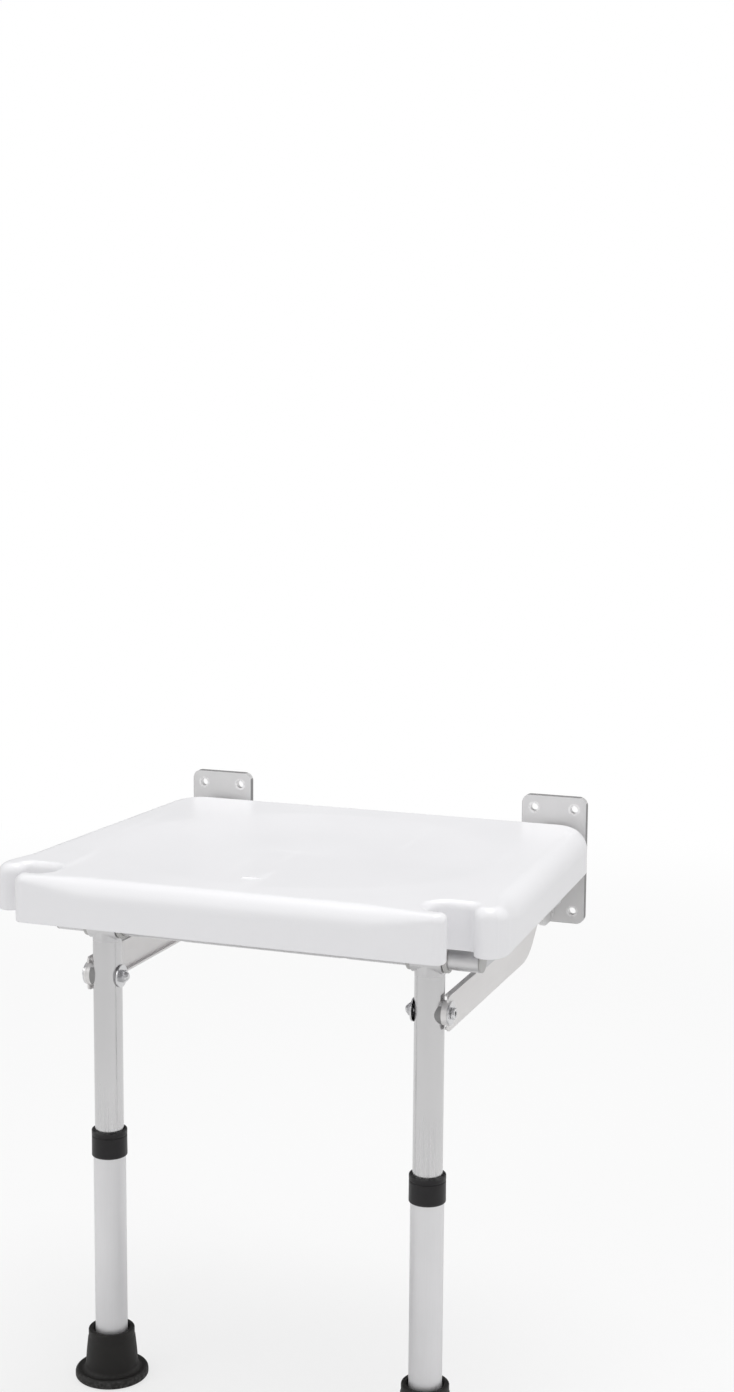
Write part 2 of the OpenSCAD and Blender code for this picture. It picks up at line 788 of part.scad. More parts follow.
module left_leg_head() { color(satin_aluminium) on_side(-1) leg_head_shape(); }
module right_leg_head() { color(satin_aluminium) on_side(1) leg_head_shape(); }

module head_liner_shape() {
    difference() {
        rod_x(leg_x - head_w / 2, leg_x + head_w / 2, leg_pivot, liner_r);
        rod_x(leg_x - head_w, leg_x + head_w, leg_pivot, cross_d / 2 + run_gap);
    }
}

module left_head_liner() { color(nylon_grey) on_side(-1) head_liner_shape(); }
module right_head_liner() { color(nylon_grey) on_side(1) head_liner_shape(); }

// Spacer with a curved back that seats the link on the round tube
module saddle_spacer_shape() {
    difference() {
        rod_x(leg_x + upper_r - 5.2, spacer_face, link_front, eye_front_r - 0.1);
        translate([leg_x, -leg_out, link_front[1] - upper_d])
            cylinder(h = 2 * upper_d, r = upper_r);
        rod_x(leg_x, spacer_face + cut, link_front, bolt_d / 2);
    }
}

module left_saddle_spacer() { color(satin_aluminium) on_side(-1) saddle_spacer_shape(); }
module right_saddle_spacer() { color(satin_aluminium) on_side(1) saddle_spacer_shape(); }

// Bolt through the leg and the link's front eye
nut_face = leg_x - upper_r - washer_t;
module pivot_bolt_shape() {
    bolt_head(link_outer + face_gap + washer_t, link_front, 1, head_h);
    rod_x(nut_face - nut_h - thread_out, link_outer + washer_t + cut, link_front, bolt_d / 2);
}

module left_pivot_bolt() { color(bright_zinc) on_side(-1) pivot_bolt_shape(); }
module right_pivot_bolt() { color(bright_zinc) on_side(1) pivot_bolt_shape(); }

module pivot_nut_shape() {
    difference() {
        rod_x(nut_face - nut_h, nut_face, link_front, nut_r, 6);
        rod_x(nut_face - nut_h - cut, nut_face + cut, link_front, bolt_d / 2);
    }
}

module left_pivot_nut() { color(bright_zinc) on_side(-1) pivot_nut_shape(); }
module right_pivot_nut() { color(bright_zinc) on_side(1) pivot_nut_shape(); }

// Washer under the bolt head and washer under the nut
module pivot_washers_shape() {
    difference() {
        union() {
            rod_x(link_outer + face_gap, link_outer + face_gap + washer_t, link_front,
                broad_washer_r);
            rod_x(nut_face, leg_x - upper_r, link_front, broad_washer_r);
        }
        rod_x(nut_face - cut, link_outer + washer_t + cut, link_front, bolt_d / 2);
    }
}

module left_pivot_washers() { color(bright_zinc) on_side(-1) pivot_washers_shape(); }
module right_pivot_washers() { color(bright_zinc) on_side(1) pivot_washers_shape(); }

// Button with a domed tip and a flange that stays inside the tube
flange_y = upper_in - 4.2;
flange_t = 1.4;
module button_shape() {
    tip = lower_r + button_out;
    dome = 1;
    translate([leg_x, -leg_out, button_z]) rotate([-90, 0, 0]) rotate_extrude()
        polygon([[0, flange_y - flange_t], [button_d / 2 + 1.4, flange_y - flange_t],
            [button_d / 2 + 1.4, flange_y], [button_d / 2, flange_y],
            [button_d / 2, tip - dome], [button_d / 2 - dome * 0.3, tip - dome * 0.3],
            [button_d / 2 - dome, tip], [0, tip]]);
}

module left_button() { color(bright_zinc) on_side(-1) button_shape(); }
module right_button() { color(bright_zinc) on_side(1) button_shape(); }

// Bent leaf spring behind the button
module snap_spring_shape() {
    leaf = 0.8;
    leaf_w = 7;
    base = flange_y - flange_t;
    low = upper_low + 3;
    rest_y = -upper_in + 1.6;
    front = -leg_out + rest_y;
    back = -leg_out + base;
    along_x(leg_x - leaf_w / 2, leg_x + leaf_w / 2)
        polygon([[back - leaf, button_z + 5], [back, button_z + 5], [back, button_z - 5],
            [front + leaf * 2, low], [front, low], [front, button_z + 8],
            [front + leaf, button_z + 8], [front + leaf, low + leaf * 2],
            [front + leaf * 2, low + leaf * 2], [back - leaf, button_z - 5 + leaf]]);
}

module left_snap_spring() { color(spring_steel) on_side(-1) snap_spring_shape(); }
module right_snap_spring() { color(spring_steel) on_side(1) snap_spring_shape(); }

// Lower tube with the row of height holes in its back
module lower_tube_shape() {
    difference() {
        translate([leg_x, -leg_out, lower_low]) cylinder(h = lower_top - lower_low, r = lower_r);
        translate([leg_x, -leg_out, lower_low - cut])
            cylinder(h = lower_top - lower_low + 2 * cut, r = lower_in);
        for (i = [-steps_down : steps_up])
            translate([leg_x, -leg_out, button_z + i * hole_pitch]) rotate([-90, 0, 0])
                cylinder(h = lower_d, r = button_d / 2 + 3 * drill_gap);
    }
}

module left_lower_tube() { color(anodised_light) on_side(-1) lower_tube_shape(); }
module right_lower_tube() { color(anodised_light) on_side(1) lower_tube_shape(); }

// Collar that caps the lower tube and guides the upper one
module collar_shape() {
    top = collar_z + collar_h;
    r = collar_d / 2;
    groove = 0.5;
    translate([leg_x, -leg_out, 0]) rotate_extrude()
        polygon([[lower_r, collar_z], [r - 0.5, collar_z], [r, collar_z + 0.5],
            [r, top - 5.4], [r - groove, top - 5], [r - groove, top - 4.4], [r, top - 4],
            [r, top - 1], [r - 1, top], [lower_in, top], [lower_in, lower_top],
            [lower_r, lower_top]]);
}

module left_collar() { color(black_plastic) on_side(-1) collar_shape(); }
module right_collar() { color(black_plastic) on_side(1) collar_shape(); }

// Rubber foot: a broad flange, a tapered cup and a hollow rim round the tube
module foot_shape() {
    r = foot_d / 2;
    round_r = foot_flange * 0.4;
    low = foot_cup_low_d / 2;
    top = foot_cup_top_d / 2;
    rim = 2.4;
    steps = 5;
    upper_round = [for (k = [0 : steps]) let (a = 90 * k / steps)
        [r - round_r + round_r * cos(a), foot_flange - round_r + round_r * sin(a)]];
    translate([leg_x, -leg_out, 0]) rotate_extrude()
        polygon(concat([[0, 0], [r - 1, 0], [r, 1]], upper_round,
            [[low + 2.5, foot_flange], [low + 0.6, foot_flange + 0.8], [low, foot_flange + 2.5],
             [top, foot_h - 0.8], [top - 0.8, foot_h], [top - rim, foot_h],
             [top - rim, foot_h - 4], [lower_r, foot_h - 4], [lower_r, foot_flange],
             [0, foot_flange]]));
}

module left_foot() { color(black_rubber) on_side(-1) foot_shape(); }
module right_foot() { color(black_rubber) on_side(1) foot_shape(); }

// Steel disc that keeps the tube from cutting through the rubber
module foot_disc_shape() {
    translate([leg_x, -leg_out, foot_flange]) cylinder(h = disc_t, r = lower_r);
}

module left_foot_disc() { color(spring_steel) on_side(-1) foot_disc_shape(); }
module right_foot_disc() { color(spring_steel) on_side(1) foot_disc_shape(); }

left_wall_bracket();
right_wall_bracket();
seat_hinge_bolts();
seat_hinge_nuts();
seat_hinge_washers();
link_hinge_bolts();
link_hinge_nuts();
link_hinge_washers();
seat_board();
front_cross_tube();
left_side_rail();
right_side_rail();
rear_cross_bar();
left_hinge_lug();
right_hinge_lug();
rail_end_plugs();
tube_end_plugs();
saddle_blocks();
front_seat_screws();
rear_seat_screws();
seat_hinge_bushes();
leg_locating_rings();
left_link();
right_link();
left_link_bushes();
right_link_bushes();
left_upper_tube();
right_upper_tube();
left_leg_head();
right_leg_head();
left_head_liner();
right_head_liner();
left_saddle_spacer();
right_saddle_spacer();
left_pivot_bolt();
right_pivot_bolt();
left_pivot_nut();
right_pivot_nut();
left_pivot_washers();
right_pivot_washers();
left_snap_spring();
right_snap_spring();
left_button();
right_button();
left_lower_tube();
right_lower_tube();
left_collar();
right_collar();
left_foot();
right_foot();
left_foot_disc();
right_foot_disc();
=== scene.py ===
# %% [markdown]
# A folding shower seat. It hangs on two wall brackets, folds up flat and
# stands on two telescopic front legs with rubber feet.
# The measured model is loaded first. It gives every size and every hinge, so
# the pieces made here only have to follow it.

# %% Load the measured model
import json
import math

import bpy
from mathutils import Matrix, Vector


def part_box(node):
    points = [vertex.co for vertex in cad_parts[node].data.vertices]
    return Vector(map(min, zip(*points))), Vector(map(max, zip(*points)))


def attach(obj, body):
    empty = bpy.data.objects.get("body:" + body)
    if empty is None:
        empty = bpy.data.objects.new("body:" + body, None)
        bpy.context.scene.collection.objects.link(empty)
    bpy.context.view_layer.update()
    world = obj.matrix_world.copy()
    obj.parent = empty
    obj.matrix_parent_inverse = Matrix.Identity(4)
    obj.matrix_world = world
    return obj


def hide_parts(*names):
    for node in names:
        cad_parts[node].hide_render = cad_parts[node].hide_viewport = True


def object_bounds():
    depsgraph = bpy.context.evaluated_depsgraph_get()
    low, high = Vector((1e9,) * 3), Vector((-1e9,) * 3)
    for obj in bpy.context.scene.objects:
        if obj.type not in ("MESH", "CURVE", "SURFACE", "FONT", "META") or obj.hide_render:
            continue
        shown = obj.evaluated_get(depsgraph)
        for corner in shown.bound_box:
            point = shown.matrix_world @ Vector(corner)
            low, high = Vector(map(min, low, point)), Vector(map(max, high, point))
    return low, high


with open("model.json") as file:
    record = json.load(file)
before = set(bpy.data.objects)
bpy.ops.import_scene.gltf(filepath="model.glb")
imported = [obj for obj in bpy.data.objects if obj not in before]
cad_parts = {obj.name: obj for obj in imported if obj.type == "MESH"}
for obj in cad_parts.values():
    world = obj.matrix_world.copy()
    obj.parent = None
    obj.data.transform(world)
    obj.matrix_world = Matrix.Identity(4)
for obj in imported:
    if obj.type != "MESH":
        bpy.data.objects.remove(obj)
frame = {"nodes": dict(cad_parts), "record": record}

cad_low, cad_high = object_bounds()
MM = 0.001
print("measured box in metres:", [round(v, 4) for v in cad_high - cad_low])

# %% [markdown]
# The camera stands in front and to the right of the seat, a little above it,
# and looks to the left and slightly down. The picture is tall, so the sensor
# width is the length of its tall side.

# %% Place the camera
PICTURE_TALL_PX = 1392
FOCAL_PX = 2033.8
SENSOR_MM = 36.0
camera_place = Vector((0.6556, -1.6472, 0.8619))
camera_yaw = math.radians(20.1)
camera_pitch = math.radians(8.09)
camera_roll = math.radians(0.41)

look = Vector((-math.sin(camera_yaw) * math.cos(camera_pitch),
               math.cos(camera_yaw) * math.cos(camera_pitch),
               -math.sin(camera_pitch)))
level_right = Vector((math.cos(camera_yaw), math.sin(camera_yaw), 0))
level_up = level_right.cross(look)
right = math.cos(camera_roll) * level_right + math.sin(camera_roll) * level_up
up = math.cos(camera_roll) * level_up - math.sin(camera_roll) * level_right
turn = Matrix((right, up, -look)).transposed()

camera_data = bpy.data.cameras.new("photo_camera")
camera_data.sensor_width = SENSOR_MM
camera_data.lens = FOCAL_PX * SENSOR_MM / PICTURE_TALL_PX
camera = bpy.data.objects.new("photo_camera", camera_data)
camera.matrix_world = Matrix.Translation(camera_place) @ turn.to_4x4()
bpy.context.collection.objects.link(camera)
bpy.context.scene.camera = camera
print("lens in millimetres:", round(camera_data.lens, 2))

# %% [markdown]
# Shader nodes get long and hard to read when they are placed one by one.
# A small class wraps a socket so that ordinary Python sums build the Math
# nodes, and a second one adds any other node in one call.

# %% A socket that can be used in sums
class Wire:
    """A shader socket that ordinary Python sums can use."""

    def __init__(self, tree, socket):
        self.tree = tree
        self.socket = socket

    def sum(self, operation, first, second):
        maths = self.tree.nodes.new("ShaderNodeMath")
        maths.operation = operation
        for slot, value in zip(maths.inputs, (first, second)):
            if isinstance(value, Wire):
                self.tree.links.new(value.socket, slot)
            else:
                slot.default_value = value
        return Wire(self.tree, maths.outputs[0])

    def __add__(self, other):
        return self.sum("ADD", self, other)

    def __radd__(self, other):
        return self.sum("ADD", other, self)

    def __sub__(self, other):
        return self.sum("SUBTRACT", self, other)

    def __rsub__(self, other):
        return self.sum("SUBTRACT", other, self)

    def __mul__(self, other):
        return self.sum("MULTIPLY", self, other)

    def __rmul__(self, other):
        return self.sum("MULTIPLY", other, self)

    def __pow__(self, other):
        return self.sum("POWER", self, other)

    def size(self):
        """The value without its sign."""
        return self.sum("ABSOLUTE", self, 0)


# %% A material that adds nodes in one call
class Finish:
    """A material with a Principled shader and short ways to feed it."""

    def __init__(self, name, colour, roughness, metallic=0.0, coat=0.0):
        self.material = bpy.data.materials.new(name)
        self.material.use_nodes = True
        self.tree = self.material.node_tree
        self.shader = self.tree.nodes["Principled BSDF"]
        self.shader.inputs["Base Color"].default_value = (*colour, 1)
        self.shader.inputs["Roughness"].default_value = roughness
        self.shader.inputs["Metallic"].default_value = metallic
        self.shader.inputs["Coat Weight"].default_value = coat
        self.place = self.node("TexCoord", output="Object")

    def node(self, kind, settings=None, inputs=None, output=0):
        made = self.tree.nodes.new("ShaderNode" + kind)
        settings = dict(settings or {})
        stops = settings.pop("stops", None)
        for name, value in settings.items():
            setattr(made, name, value)
        if stops:
            ramp = made.color_ramp.elements
            while len(ramp) < len(stops):
                ramp.new(0.5)
            for element, (position, shade) in zip(ramp, stops):
                element.position = position
                element.color = (shade, shade, shade, 1)
        for name, value in (inputs or {}).items():
            if isinstance(value, Wire):
                self.tree.links.new(value.socket, made.inputs[name])
            else:
                made.inputs[name].default_value = value
        return Wire(self.tree, made.outputs[output])

    def feed(self, name, wire):
        self.tree.links.new(wire.socket, self.shader.inputs[name])

    def stretched(self, scale):
        """Object coordinates multiplied along each axis."""
        return self.node("Mapping", inputs={"Vector": self.place, "Scale": scale})

    def noise(self, scale, detail=2.0, across=(1, 1, 1), rough=0.5):
        return self.node("TexNoise", inputs={"Vector": self.stretched(across), "Scale": scale,
                                             "Detail": detail, "Roughness": rough})

    def ramp(self, wire, stops):
        return self.node("ValToRGB", {"stops": stops}, {"Fac": wire})

    def blend(self, mask, first, second):
        """A colour that goes from the first to the second with the mask."""
        pair = [c if isinstance(c, Wire) else (*c, 1) for c in (first, second)]
        return self.node("Mix", {"data_type": "RGBA"}, {0: mask, 6: pair[0], 7: pair[1]},
                         output=2)

    def bump(self, height, strength, distance, under=None):
        inputs = {"Height": height, "Strength": strength, "Distance": distance}
        if under:
            inputs["Normal"] = under
        return self.node("Bump", inputs=inputs)

    def part_of(self, axis):
        """One of the object coordinates, in metres."""
        return self.node("SeparateXYZ", inputs={0: self.place}, output=axis)

    def rising(self, wire, start, end):
        """0 before the start, 1 after the end and a smooth rise between them."""
        return self.node("MapRange", {"interpolation_type": "SMOOTHSTEP"},
                         {"Value": wire, "From Min": start, "From Max": end})

    def apart(self, first, second):
        """Distance from an axis, given the two offsets from it."""
        return (first * first + second * second) ** 0.5


# %% [markdown]
# The seat is injection moulded in white plastic. Such a surface has a fine
# even grain from the mould and a soft gloss, so the grain is a small bump and
# the roughness changes a little from place to place. Use leaves hairline
# scratches, which show only as thin rougher lines in the gloss.

# %% White moulded plastic
def make_white_plastic(name, colour, roughness):
    finish = Finish(name, colour, roughness, coat=0.15)
    finish.shader.inputs["Coat Roughness"].default_value = 0.25
    cloudy = finish.noise(9, 3)
    grain = finish.noise(1400, 2)
    hairlines = (finish.ramp(finish.noise(95, 2, (1, 0.05, 1)), [(0.66, 0), (0.70, 1)])
                 + finish.ramp(finish.noise(80, 2, (0.06, 1, 1)), [(0.67, 0), (0.71, 1)]))
    darker = [0.965 * v for v in colour]
    finish.feed("Base Color", finish.blend(cloudy, darker, colour))
    finish.feed("Roughness", roughness - 0.04 + 0.08 * cloudy + 0.04 * grain
                + 0.07 * hairlines)
    finish.feed("Normal", finish.bump(grain, 0.12, 0.0002))
    return finish.material


white_seat = make_white_plastic("white_seat_plastic", (0.865, 0.862, 0.880), 0.34)
white_block = make_white_plastic("white_block_plastic", (0.80, 0.80, 0.81), 0.45)

# %% [markdown]
# The tubes are drawn aluminium with a satin anodised skin. Drawing leaves
# faint lines along the tube, so a noise pattern is stretched along its length
# and drives both the roughness and a very low bump.

# %% Satin aluminium with lines along one axis
ALONG = {"x": (0.02, 1, 1), "y": (1, 0.02, 1), "z": (1, 1, 0.02)}
SLIDE_TRAVEL = 0.08
collar_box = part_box("left_collar")


def rubbed_by_collar(finish):
    """Fine upright scratches where the upper tube slides in the collar."""
    height = finish.part_of(2)
    start = collar_box[1][2]
    worn = finish.rising(height, start + SLIDE_TRAVEL, start)
    return worn * finish.ramp(finish.noise(700, 4, (1, 1, 0.015)), [(0.50, 0), (0.62, 1)])


def make_drawn_metal(name, colour, roughness, along, metallic=0.85, wear=None):
    finish = Finish(name, colour, roughness, metallic)
    lines = finish.noise(1100, 3, ALONG[along])
    patches = finish.noise(14, 4)
    fine = finish.noise(2600, 1)
    shade = finish.ramp(patches * 0.7 + lines * 0.3, [(0.3, 0), (0.7, 1)])
    finish.feed("Base Color", finish.blend(shade, [0.93 * v for v in colour], colour))
    rough = roughness - 0.07 + 0.1 * lines + 0.05 * patches
    if wear:
        rough = rough + 0.16 * wear(finish)
    finish.feed("Roughness", rough)
    low = finish.bump(fine, 0.05, 0.0001)
    finish.feed("Normal", finish.bump(lines, 0.10, 0.0002, low))
    return finish.material


tube_metal = make_drawn_metal("satin_tube", (0.70, 0.695, 0.70), 0.21, "z", 0.95,
                              rubbed_by_collar)
lower_metal = make_drawn_metal("light_lower_tube", (0.80, 0.795, 0.805), 0.38, "z", 0.6)
cross_metal = make_drawn_metal("satin_cross_tube", (0.72, 0.715, 0.72), 0.32, "x")
rail_metal = make_drawn_metal("satin_rail", (0.68, 0.68, 0.69), 0.40, "y")
link_metal = make_drawn_metal("light_link", (0.84, 0.825, 0.82), 0.42, "y", 0.6)

# %% [markdown]
# The wall brackets and lugs are cut from thick plate and bead blasted. The
# finish has no direction, only a fine even sparkle, so its noise is not
# stretched. Screw heads have rubbed a thin bright ring round each wall hole.
# The two plates mirror each other, so one sum serves all eight holes. Their narrow sides are
# darkened with painted shade.

# %% Blasted aluminium
wall_pattern = [m for m in frame["record"]["mounts"] if m["name"] == "right_wall_holes"][0]
RUB_FROM = 0.0044
RUB_TO = 0.0066
plate_low, plate_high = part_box("right_wall_bracket")
PLATE_HALF = (Vector(plate_high) - Vector(plate_low)) / 2
# Width in metres of the painted shade along the narrow sides of the plates
EDGE_SHADE_WIDTH = 0.0006


def from_plate_middle(finish):
    """Distances across and up from the middle of the nearer plate."""
    return ((finish.part_of(0).size() - wall_pattern["pos_m"][0]).size(),
            (finish.part_of(2) - wall_pattern["pos_m"][2]).size())


def rubbed_by_screws(finish):
    """A ring round each screw hole of the plates."""
    across, upwards = from_plate_middle(finish)
    away = finish.apart(across - wall_pattern["dims"]["spacing_x_mm"] / 2 * MM,
                        upwards - wall_pattern["dims"]["spacing_y_mm"] / 2 * MM)
    ring = finish.rising(away, RUB_TO, RUB_FROM)
    return ring * finish.ramp(finish.noise(420, 3), [(0.35, 0), (0.6, 1)])


def painted_edge_shade(finish):
    """The narrow sides of both plates, with painted shade that darkens them and a duller finish.
    """
    across, upwards = from_plate_middle(finish)
    return (finish.rising(across, PLATE_HALF.x - EDGE_SHADE_WIDTH, PLATE_HALF.x - EDGE_SHADE_WIDTH / 3)
            + finish.rising(upwards, PLATE_HALF.z - EDGE_SHADE_WIDTH, PLATE_HALF.z - EDGE_SHADE_WIDTH / 3))


def make_blasted_metal(name, colour, roughness):
    finish = Finish(name, colour, roughness, 0.7)
    blast = finish.noise(1700, 2)
    patches = finish.noise(22, 3)
    rubbed = rubbed_by_screws(finish)
    edge_shade = painted_edge_shade(finish)
    bright = [1.16 * v for v in colour]
    shade = finish.ramp(patches * 0.8 + rubbed * 0.9, [(0.3, 0), (1.0, 1)])
    face = finish.blend(shade, [0.94 * v for v in colour], bright)
    # The narrow sides of the plates get painted shade: their colour drops to 0.42 of the plate's.
    finish.feed("Base Color", finish.blend(edge_shade, face, [0.42 * v for v in colour]))
    finish.feed("Roughness", roughness - 0.05 + 0.1 * blast + 0.04 * patches - 0.14 * rubbed
                + 0.14 * edge_shade)
    finish.feed("Normal", finish.bump(blast, 0.18, 0.0002))
    return finish.material


bracket_metal = make_blasted_metal("blasted_bracket", (0.76, 0.755, 0.755), 0.44)

# %% [markdown]
# Bolts, nuts, washers and buttons are zinc plated and bright. The turned
# faces carry fine tool marks, which a noise pattern with more detail stands
# for at this size.

# %% Bright zinc
def make_bright_zinc(name, colour, roughness):
    finish = Finish(name, colour, roughness, 1.0)
    marks = finish.noise(900, 4)
    patches = finish.noise(160, 2)
    finish.feed("Base Color", finish.blend(patches, [0.86 * v for v in colour], colour))
    finish.feed("Roughness", roughness - 0.05 + 0.12 * marks)
    finish.feed("Normal", finish.bump(marks, 0.08, 0.0002))
    return finish.material


bright_zinc = make_bright_zinc("bright_zinc", (0.80, 0.80, 0.81), 0.24)
spring_steel = make_bright_zinc("spring_steel", (0.45, 0.45, 0.47), 0.36)

# %% [markdown]
# The collars are black plastic and the feet black rubber. Both are a very
# dark grey and not pure black. The rubber is duller, picks up dust near the
# floor and is scuffed where its flange is widest. The collar's mouth is
# scuffed where hands turn and push it. Washers, plugs and rings are plain
# nylon.

# %% Black plastic, black rubber and plain nylon
foot_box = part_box("right_foot")
FOOT_X = (foot_box[0][0] + foot_box[1][0]) / 2
FOOT_Y = (foot_box[0][1] + foot_box[1][1]) / 2
FOOT_RADIUS = (foot_box[1][0] - foot_box[0][0]) / 2
SCUFF_WIDTH = 0.0035
DUST_HEIGHT = 0.014
MOUTH_WIDTH = 0.0025


def scuffed_flange(finish):
    """Strongest at the rim of the foot, with dust just above the floor."""
    away = finish.apart(finish.part_of(0).size() - FOOT_X, finish.part_of(1) - FOOT_Y)
    rim = finish.rising(away, FOOT_RADIUS - SCUFF_WIDTH, FOOT_RADIUS)
    near_floor = finish.rising(finish.part_of(2), DUST_HEIGHT, 0.0)
    return rim * 0.5 + near_floor * 0.5


def scuffed_mouth(finish):
    """Strongest at both ends of the collar."""
    height = finish.part_of(2)
    low_end = finish.rising(height, collar_box[0][2] + MOUTH_WIDTH, collar_box[0][2])
    high_end = finish.rising(height, collar_box[1][2] - MOUTH_WIDTH, collar_box[1][2])
    return low_end + high_end


def make_moulding(name, colour, roughness, scuffs=None):
    finish = Finish(name, colour, roughness)
    grain = finish.noise(1500, 3)
    patches = finish.noise(60, 3)
    rough = roughness - 0.06 + 0.1 * grain + 0.06 * patches
    paler = 0.12 * patches
    if scuffs:
        worn = scuffs(finish) * finish.ramp(finish.noise(330, 5), [(0.38, 0), (0.66, 1)])
        paler = paler + 0.75 * worn
        rough = rough + 0.12 * worn
    finish.feed("Base Color", finish.blend(paler, colour, [v + 0.055 for v in colour]))
    finish.feed("Roughness", rough)
    finish.feed("Normal", finish.bump(grain, 0.15, 0.0003))
    return finish.material


black_plastic = make_moulding("black_collar_plastic", (0.011, 0.010, 0.011), 0.38,
                              scuffed_mouth)
black_rubber = make_moulding("black_foot_rubber", (0.012, 0.011, 0.010), 0.50,
                             scuffed_flange)
for black in (black_plastic, black_rubber):
    black.node_tree.nodes["Principled BSDF"].inputs["Specular IOR Level"].default_value = 0.3
grey_nylon = make_moulding("grey_nylon", (0.50, 0.495, 0.485), 0.5)

# %% [markdown]
# Every measured piece gets its finish here. Those that are modelled again
# further down get the same one there.

# %% Give the measured pieces their finishes
nodes = frame["nodes"]


def both(name):
    return ["left_" + name, "right_" + name]


finish_of = {
    white_seat: ["seat_board"],
    white_block: ["saddle_blocks"],
    bracket_metal: both("wall_bracket") + both("hinge_lug") + both("saddle_spacer"),
    rail_metal: both("side_rail"),
    cross_metal: ["front_cross_tube", "rear_cross_bar"] + both("leg_head"),
    tube_metal: both("upper_tube"),
    lower_metal: both("lower_tube"),
    link_metal: both("link"),
    bright_zinc: ["seat_hinge_bolts", "seat_hinge_nuts", "link_hinge_bolts", "link_hinge_nuts",
                  "front_seat_screws", "rear_seat_screws"] + both("pivot_bolt")
                 + both("pivot_nut") + both("pivot_washers") + both("button"),
    grey_nylon: ["seat_hinge_washers", "link_hinge_washers", "seat_hinge_bushes",
                 "rail_end_plugs", "tube_end_plugs", "leg_locating_rings"]
                + both("link_bushes") + both("head_liner"),
    black_plastic: both("collar"),
    black_rubber: both("foot"),
    spring_steel: both("snap_spring") + both("foot_disc"),
}
painted = set()
for material, names in finish_of.items():
    for name in names:
        for slot in nodes[name].material_slots:
            slot.material = material
        painted.add(name)
print("measured pieces:", len(nodes), "without a finish:", sorted(set(nodes) - painted))

# %% [markdown]
# Bare cut edges look like paper in a picture. Real plate, castings and
# mouldings all have a small rounded edge that catches the light. For a piece
# whose measured shape is right, a copy is welded together, its flat faces are
# joined up again, and a Bevel modifier rounds every sharp edge.

# %% Helpers for modelling by hand
def start_clean():
    """Back to object mode with nothing selected."""
    if bpy.context.object and bpy.context.object.mode != "OBJECT":
        bpy.ops.object.mode_set(mode="OBJECT")
    bpy.ops.object.select_all(action="DESELECT")


def pick(piece):
    start_clean()
    piece.select_set(True)
    bpy.context.view_layer.objects.active = piece


def edit_all():
    """Into edit mode with the whole mesh selected."""
    bpy.ops.object.mode_set(mode="EDIT")
    bpy.ops.mesh.select_all(action="SELECT")


def fix_place():
    """Puts place, turn and scale into the mesh, so that the origin is the frame's."""
    bpy.ops.object.transform_apply(location=True, rotation=True, scale=True)


def cylinder(sides, radius, tall, x=0, y=0, z=0):
    """An upright cylinder: radius, height and z in millimetres, x and y in metres."""
    start_clean()
    bpy.ops.mesh.primitive_cylinder_add(vertices=sides, radius=radius * MM, depth=tall * MM,
                                        location=(x, y, z * MM))
    fix_place()
    return bpy.context.object


def fresh_copy(piece, name):
    """A copy of a piece with a mesh of its own, picked."""
    copy = piece.copy()
    copy.data = piece.data.copy()
    copy.parent = None
    copy.name = name
    bpy.context.collection.objects.link(copy)
    pick(copy)
    return copy


def apply_modifiers(piece):
    pick(piece)
    for modifier in list(piece.modifiers):
        bpy.ops.object.modifier_apply(modifier=modifier.name)


def enclosed(piece):
    """Volume inside a closed surface, negative where its faces look inwards."""
    mesh = piece.data
    mesh.calc_loop_triangles()
    total = 0.0
    for triangle in mesh.loop_triangles:
        a, b, c = (mesh.vertices[number].co for number in triangle.vertices)
        total += a.dot(b.cross(c)) / 6
    return total


def face_outwards(piece):
    """Turns all faces of a closed piece to the outside."""
    edit_all()
    bpy.ops.mesh.normals_make_consistent(inside=False)
    bpy.ops.object.mode_set(mode="OBJECT")
    if enclosed(piece) < 0:
        bpy.ops.object.mode_set(mode="EDIT")
        bpy.ops.mesh.flip_normals()
        bpy.ops.object.mode_set(mode="OBJECT")


def settle(piece, material, smooth_degrees=35):
    """Turns normals outwards, smooths round faces and puts the origin at the frame's."""
    pick(piece)
    fix_place()
    face_outwards(piece)
    bpy.ops.object.shade_smooth_by_angle(angle=math.radians(smooth_degrees))
    steady = piece.modifiers.new("steady_normals", "WEIGHTED_NORMAL")
    steady.keep_sharp = True
    apply_modifiers(piece)
    piece.data.materials.clear()
    piece.data.materials.append(material)


def body_of_node(name):
    for body, members in frame["record"]["behaviour"]["bodies"].items():
        if name in members:
            return body
    raise ValueError(name)


# %% Round the edges of measured pieces
SAME_PLACE = 0.000002
FLAT_DEGREES = 0.5
SHARP_DEGREES = 28


def soften(name, width_mm, material, segments):
    """A copy of a measured piece with its sharp edges rounded."""
    piece = fresh_copy(nodes[name], name + "_rounded")
    edit_all()
    bpy.ops.mesh.remove_doubles(threshold=SAME_PLACE)
    bpy.ops.mesh.customdata_custom_splitnormals_clear()
    bpy.ops.mesh.dissolve_limited(angle_limit=math.radians(FLAT_DEGREES))
    bpy.ops.object.mode_set(mode="OBJECT")
    bevel = piece.modifiers.new("edge", "BEVEL")
    bevel.width = width_mm * MM
    bevel.segments = segments
    bevel.limit_method = "ANGLE"
    bevel.angle_limit = math.radians(SHARP_DEGREES)
    apply_modifiers(piece)
    settle(piece, material, 32)
    for key in list(piece.keys()):
        del piece[key]
    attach(piece, body_of_node(name))
    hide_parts(name)
    return piece


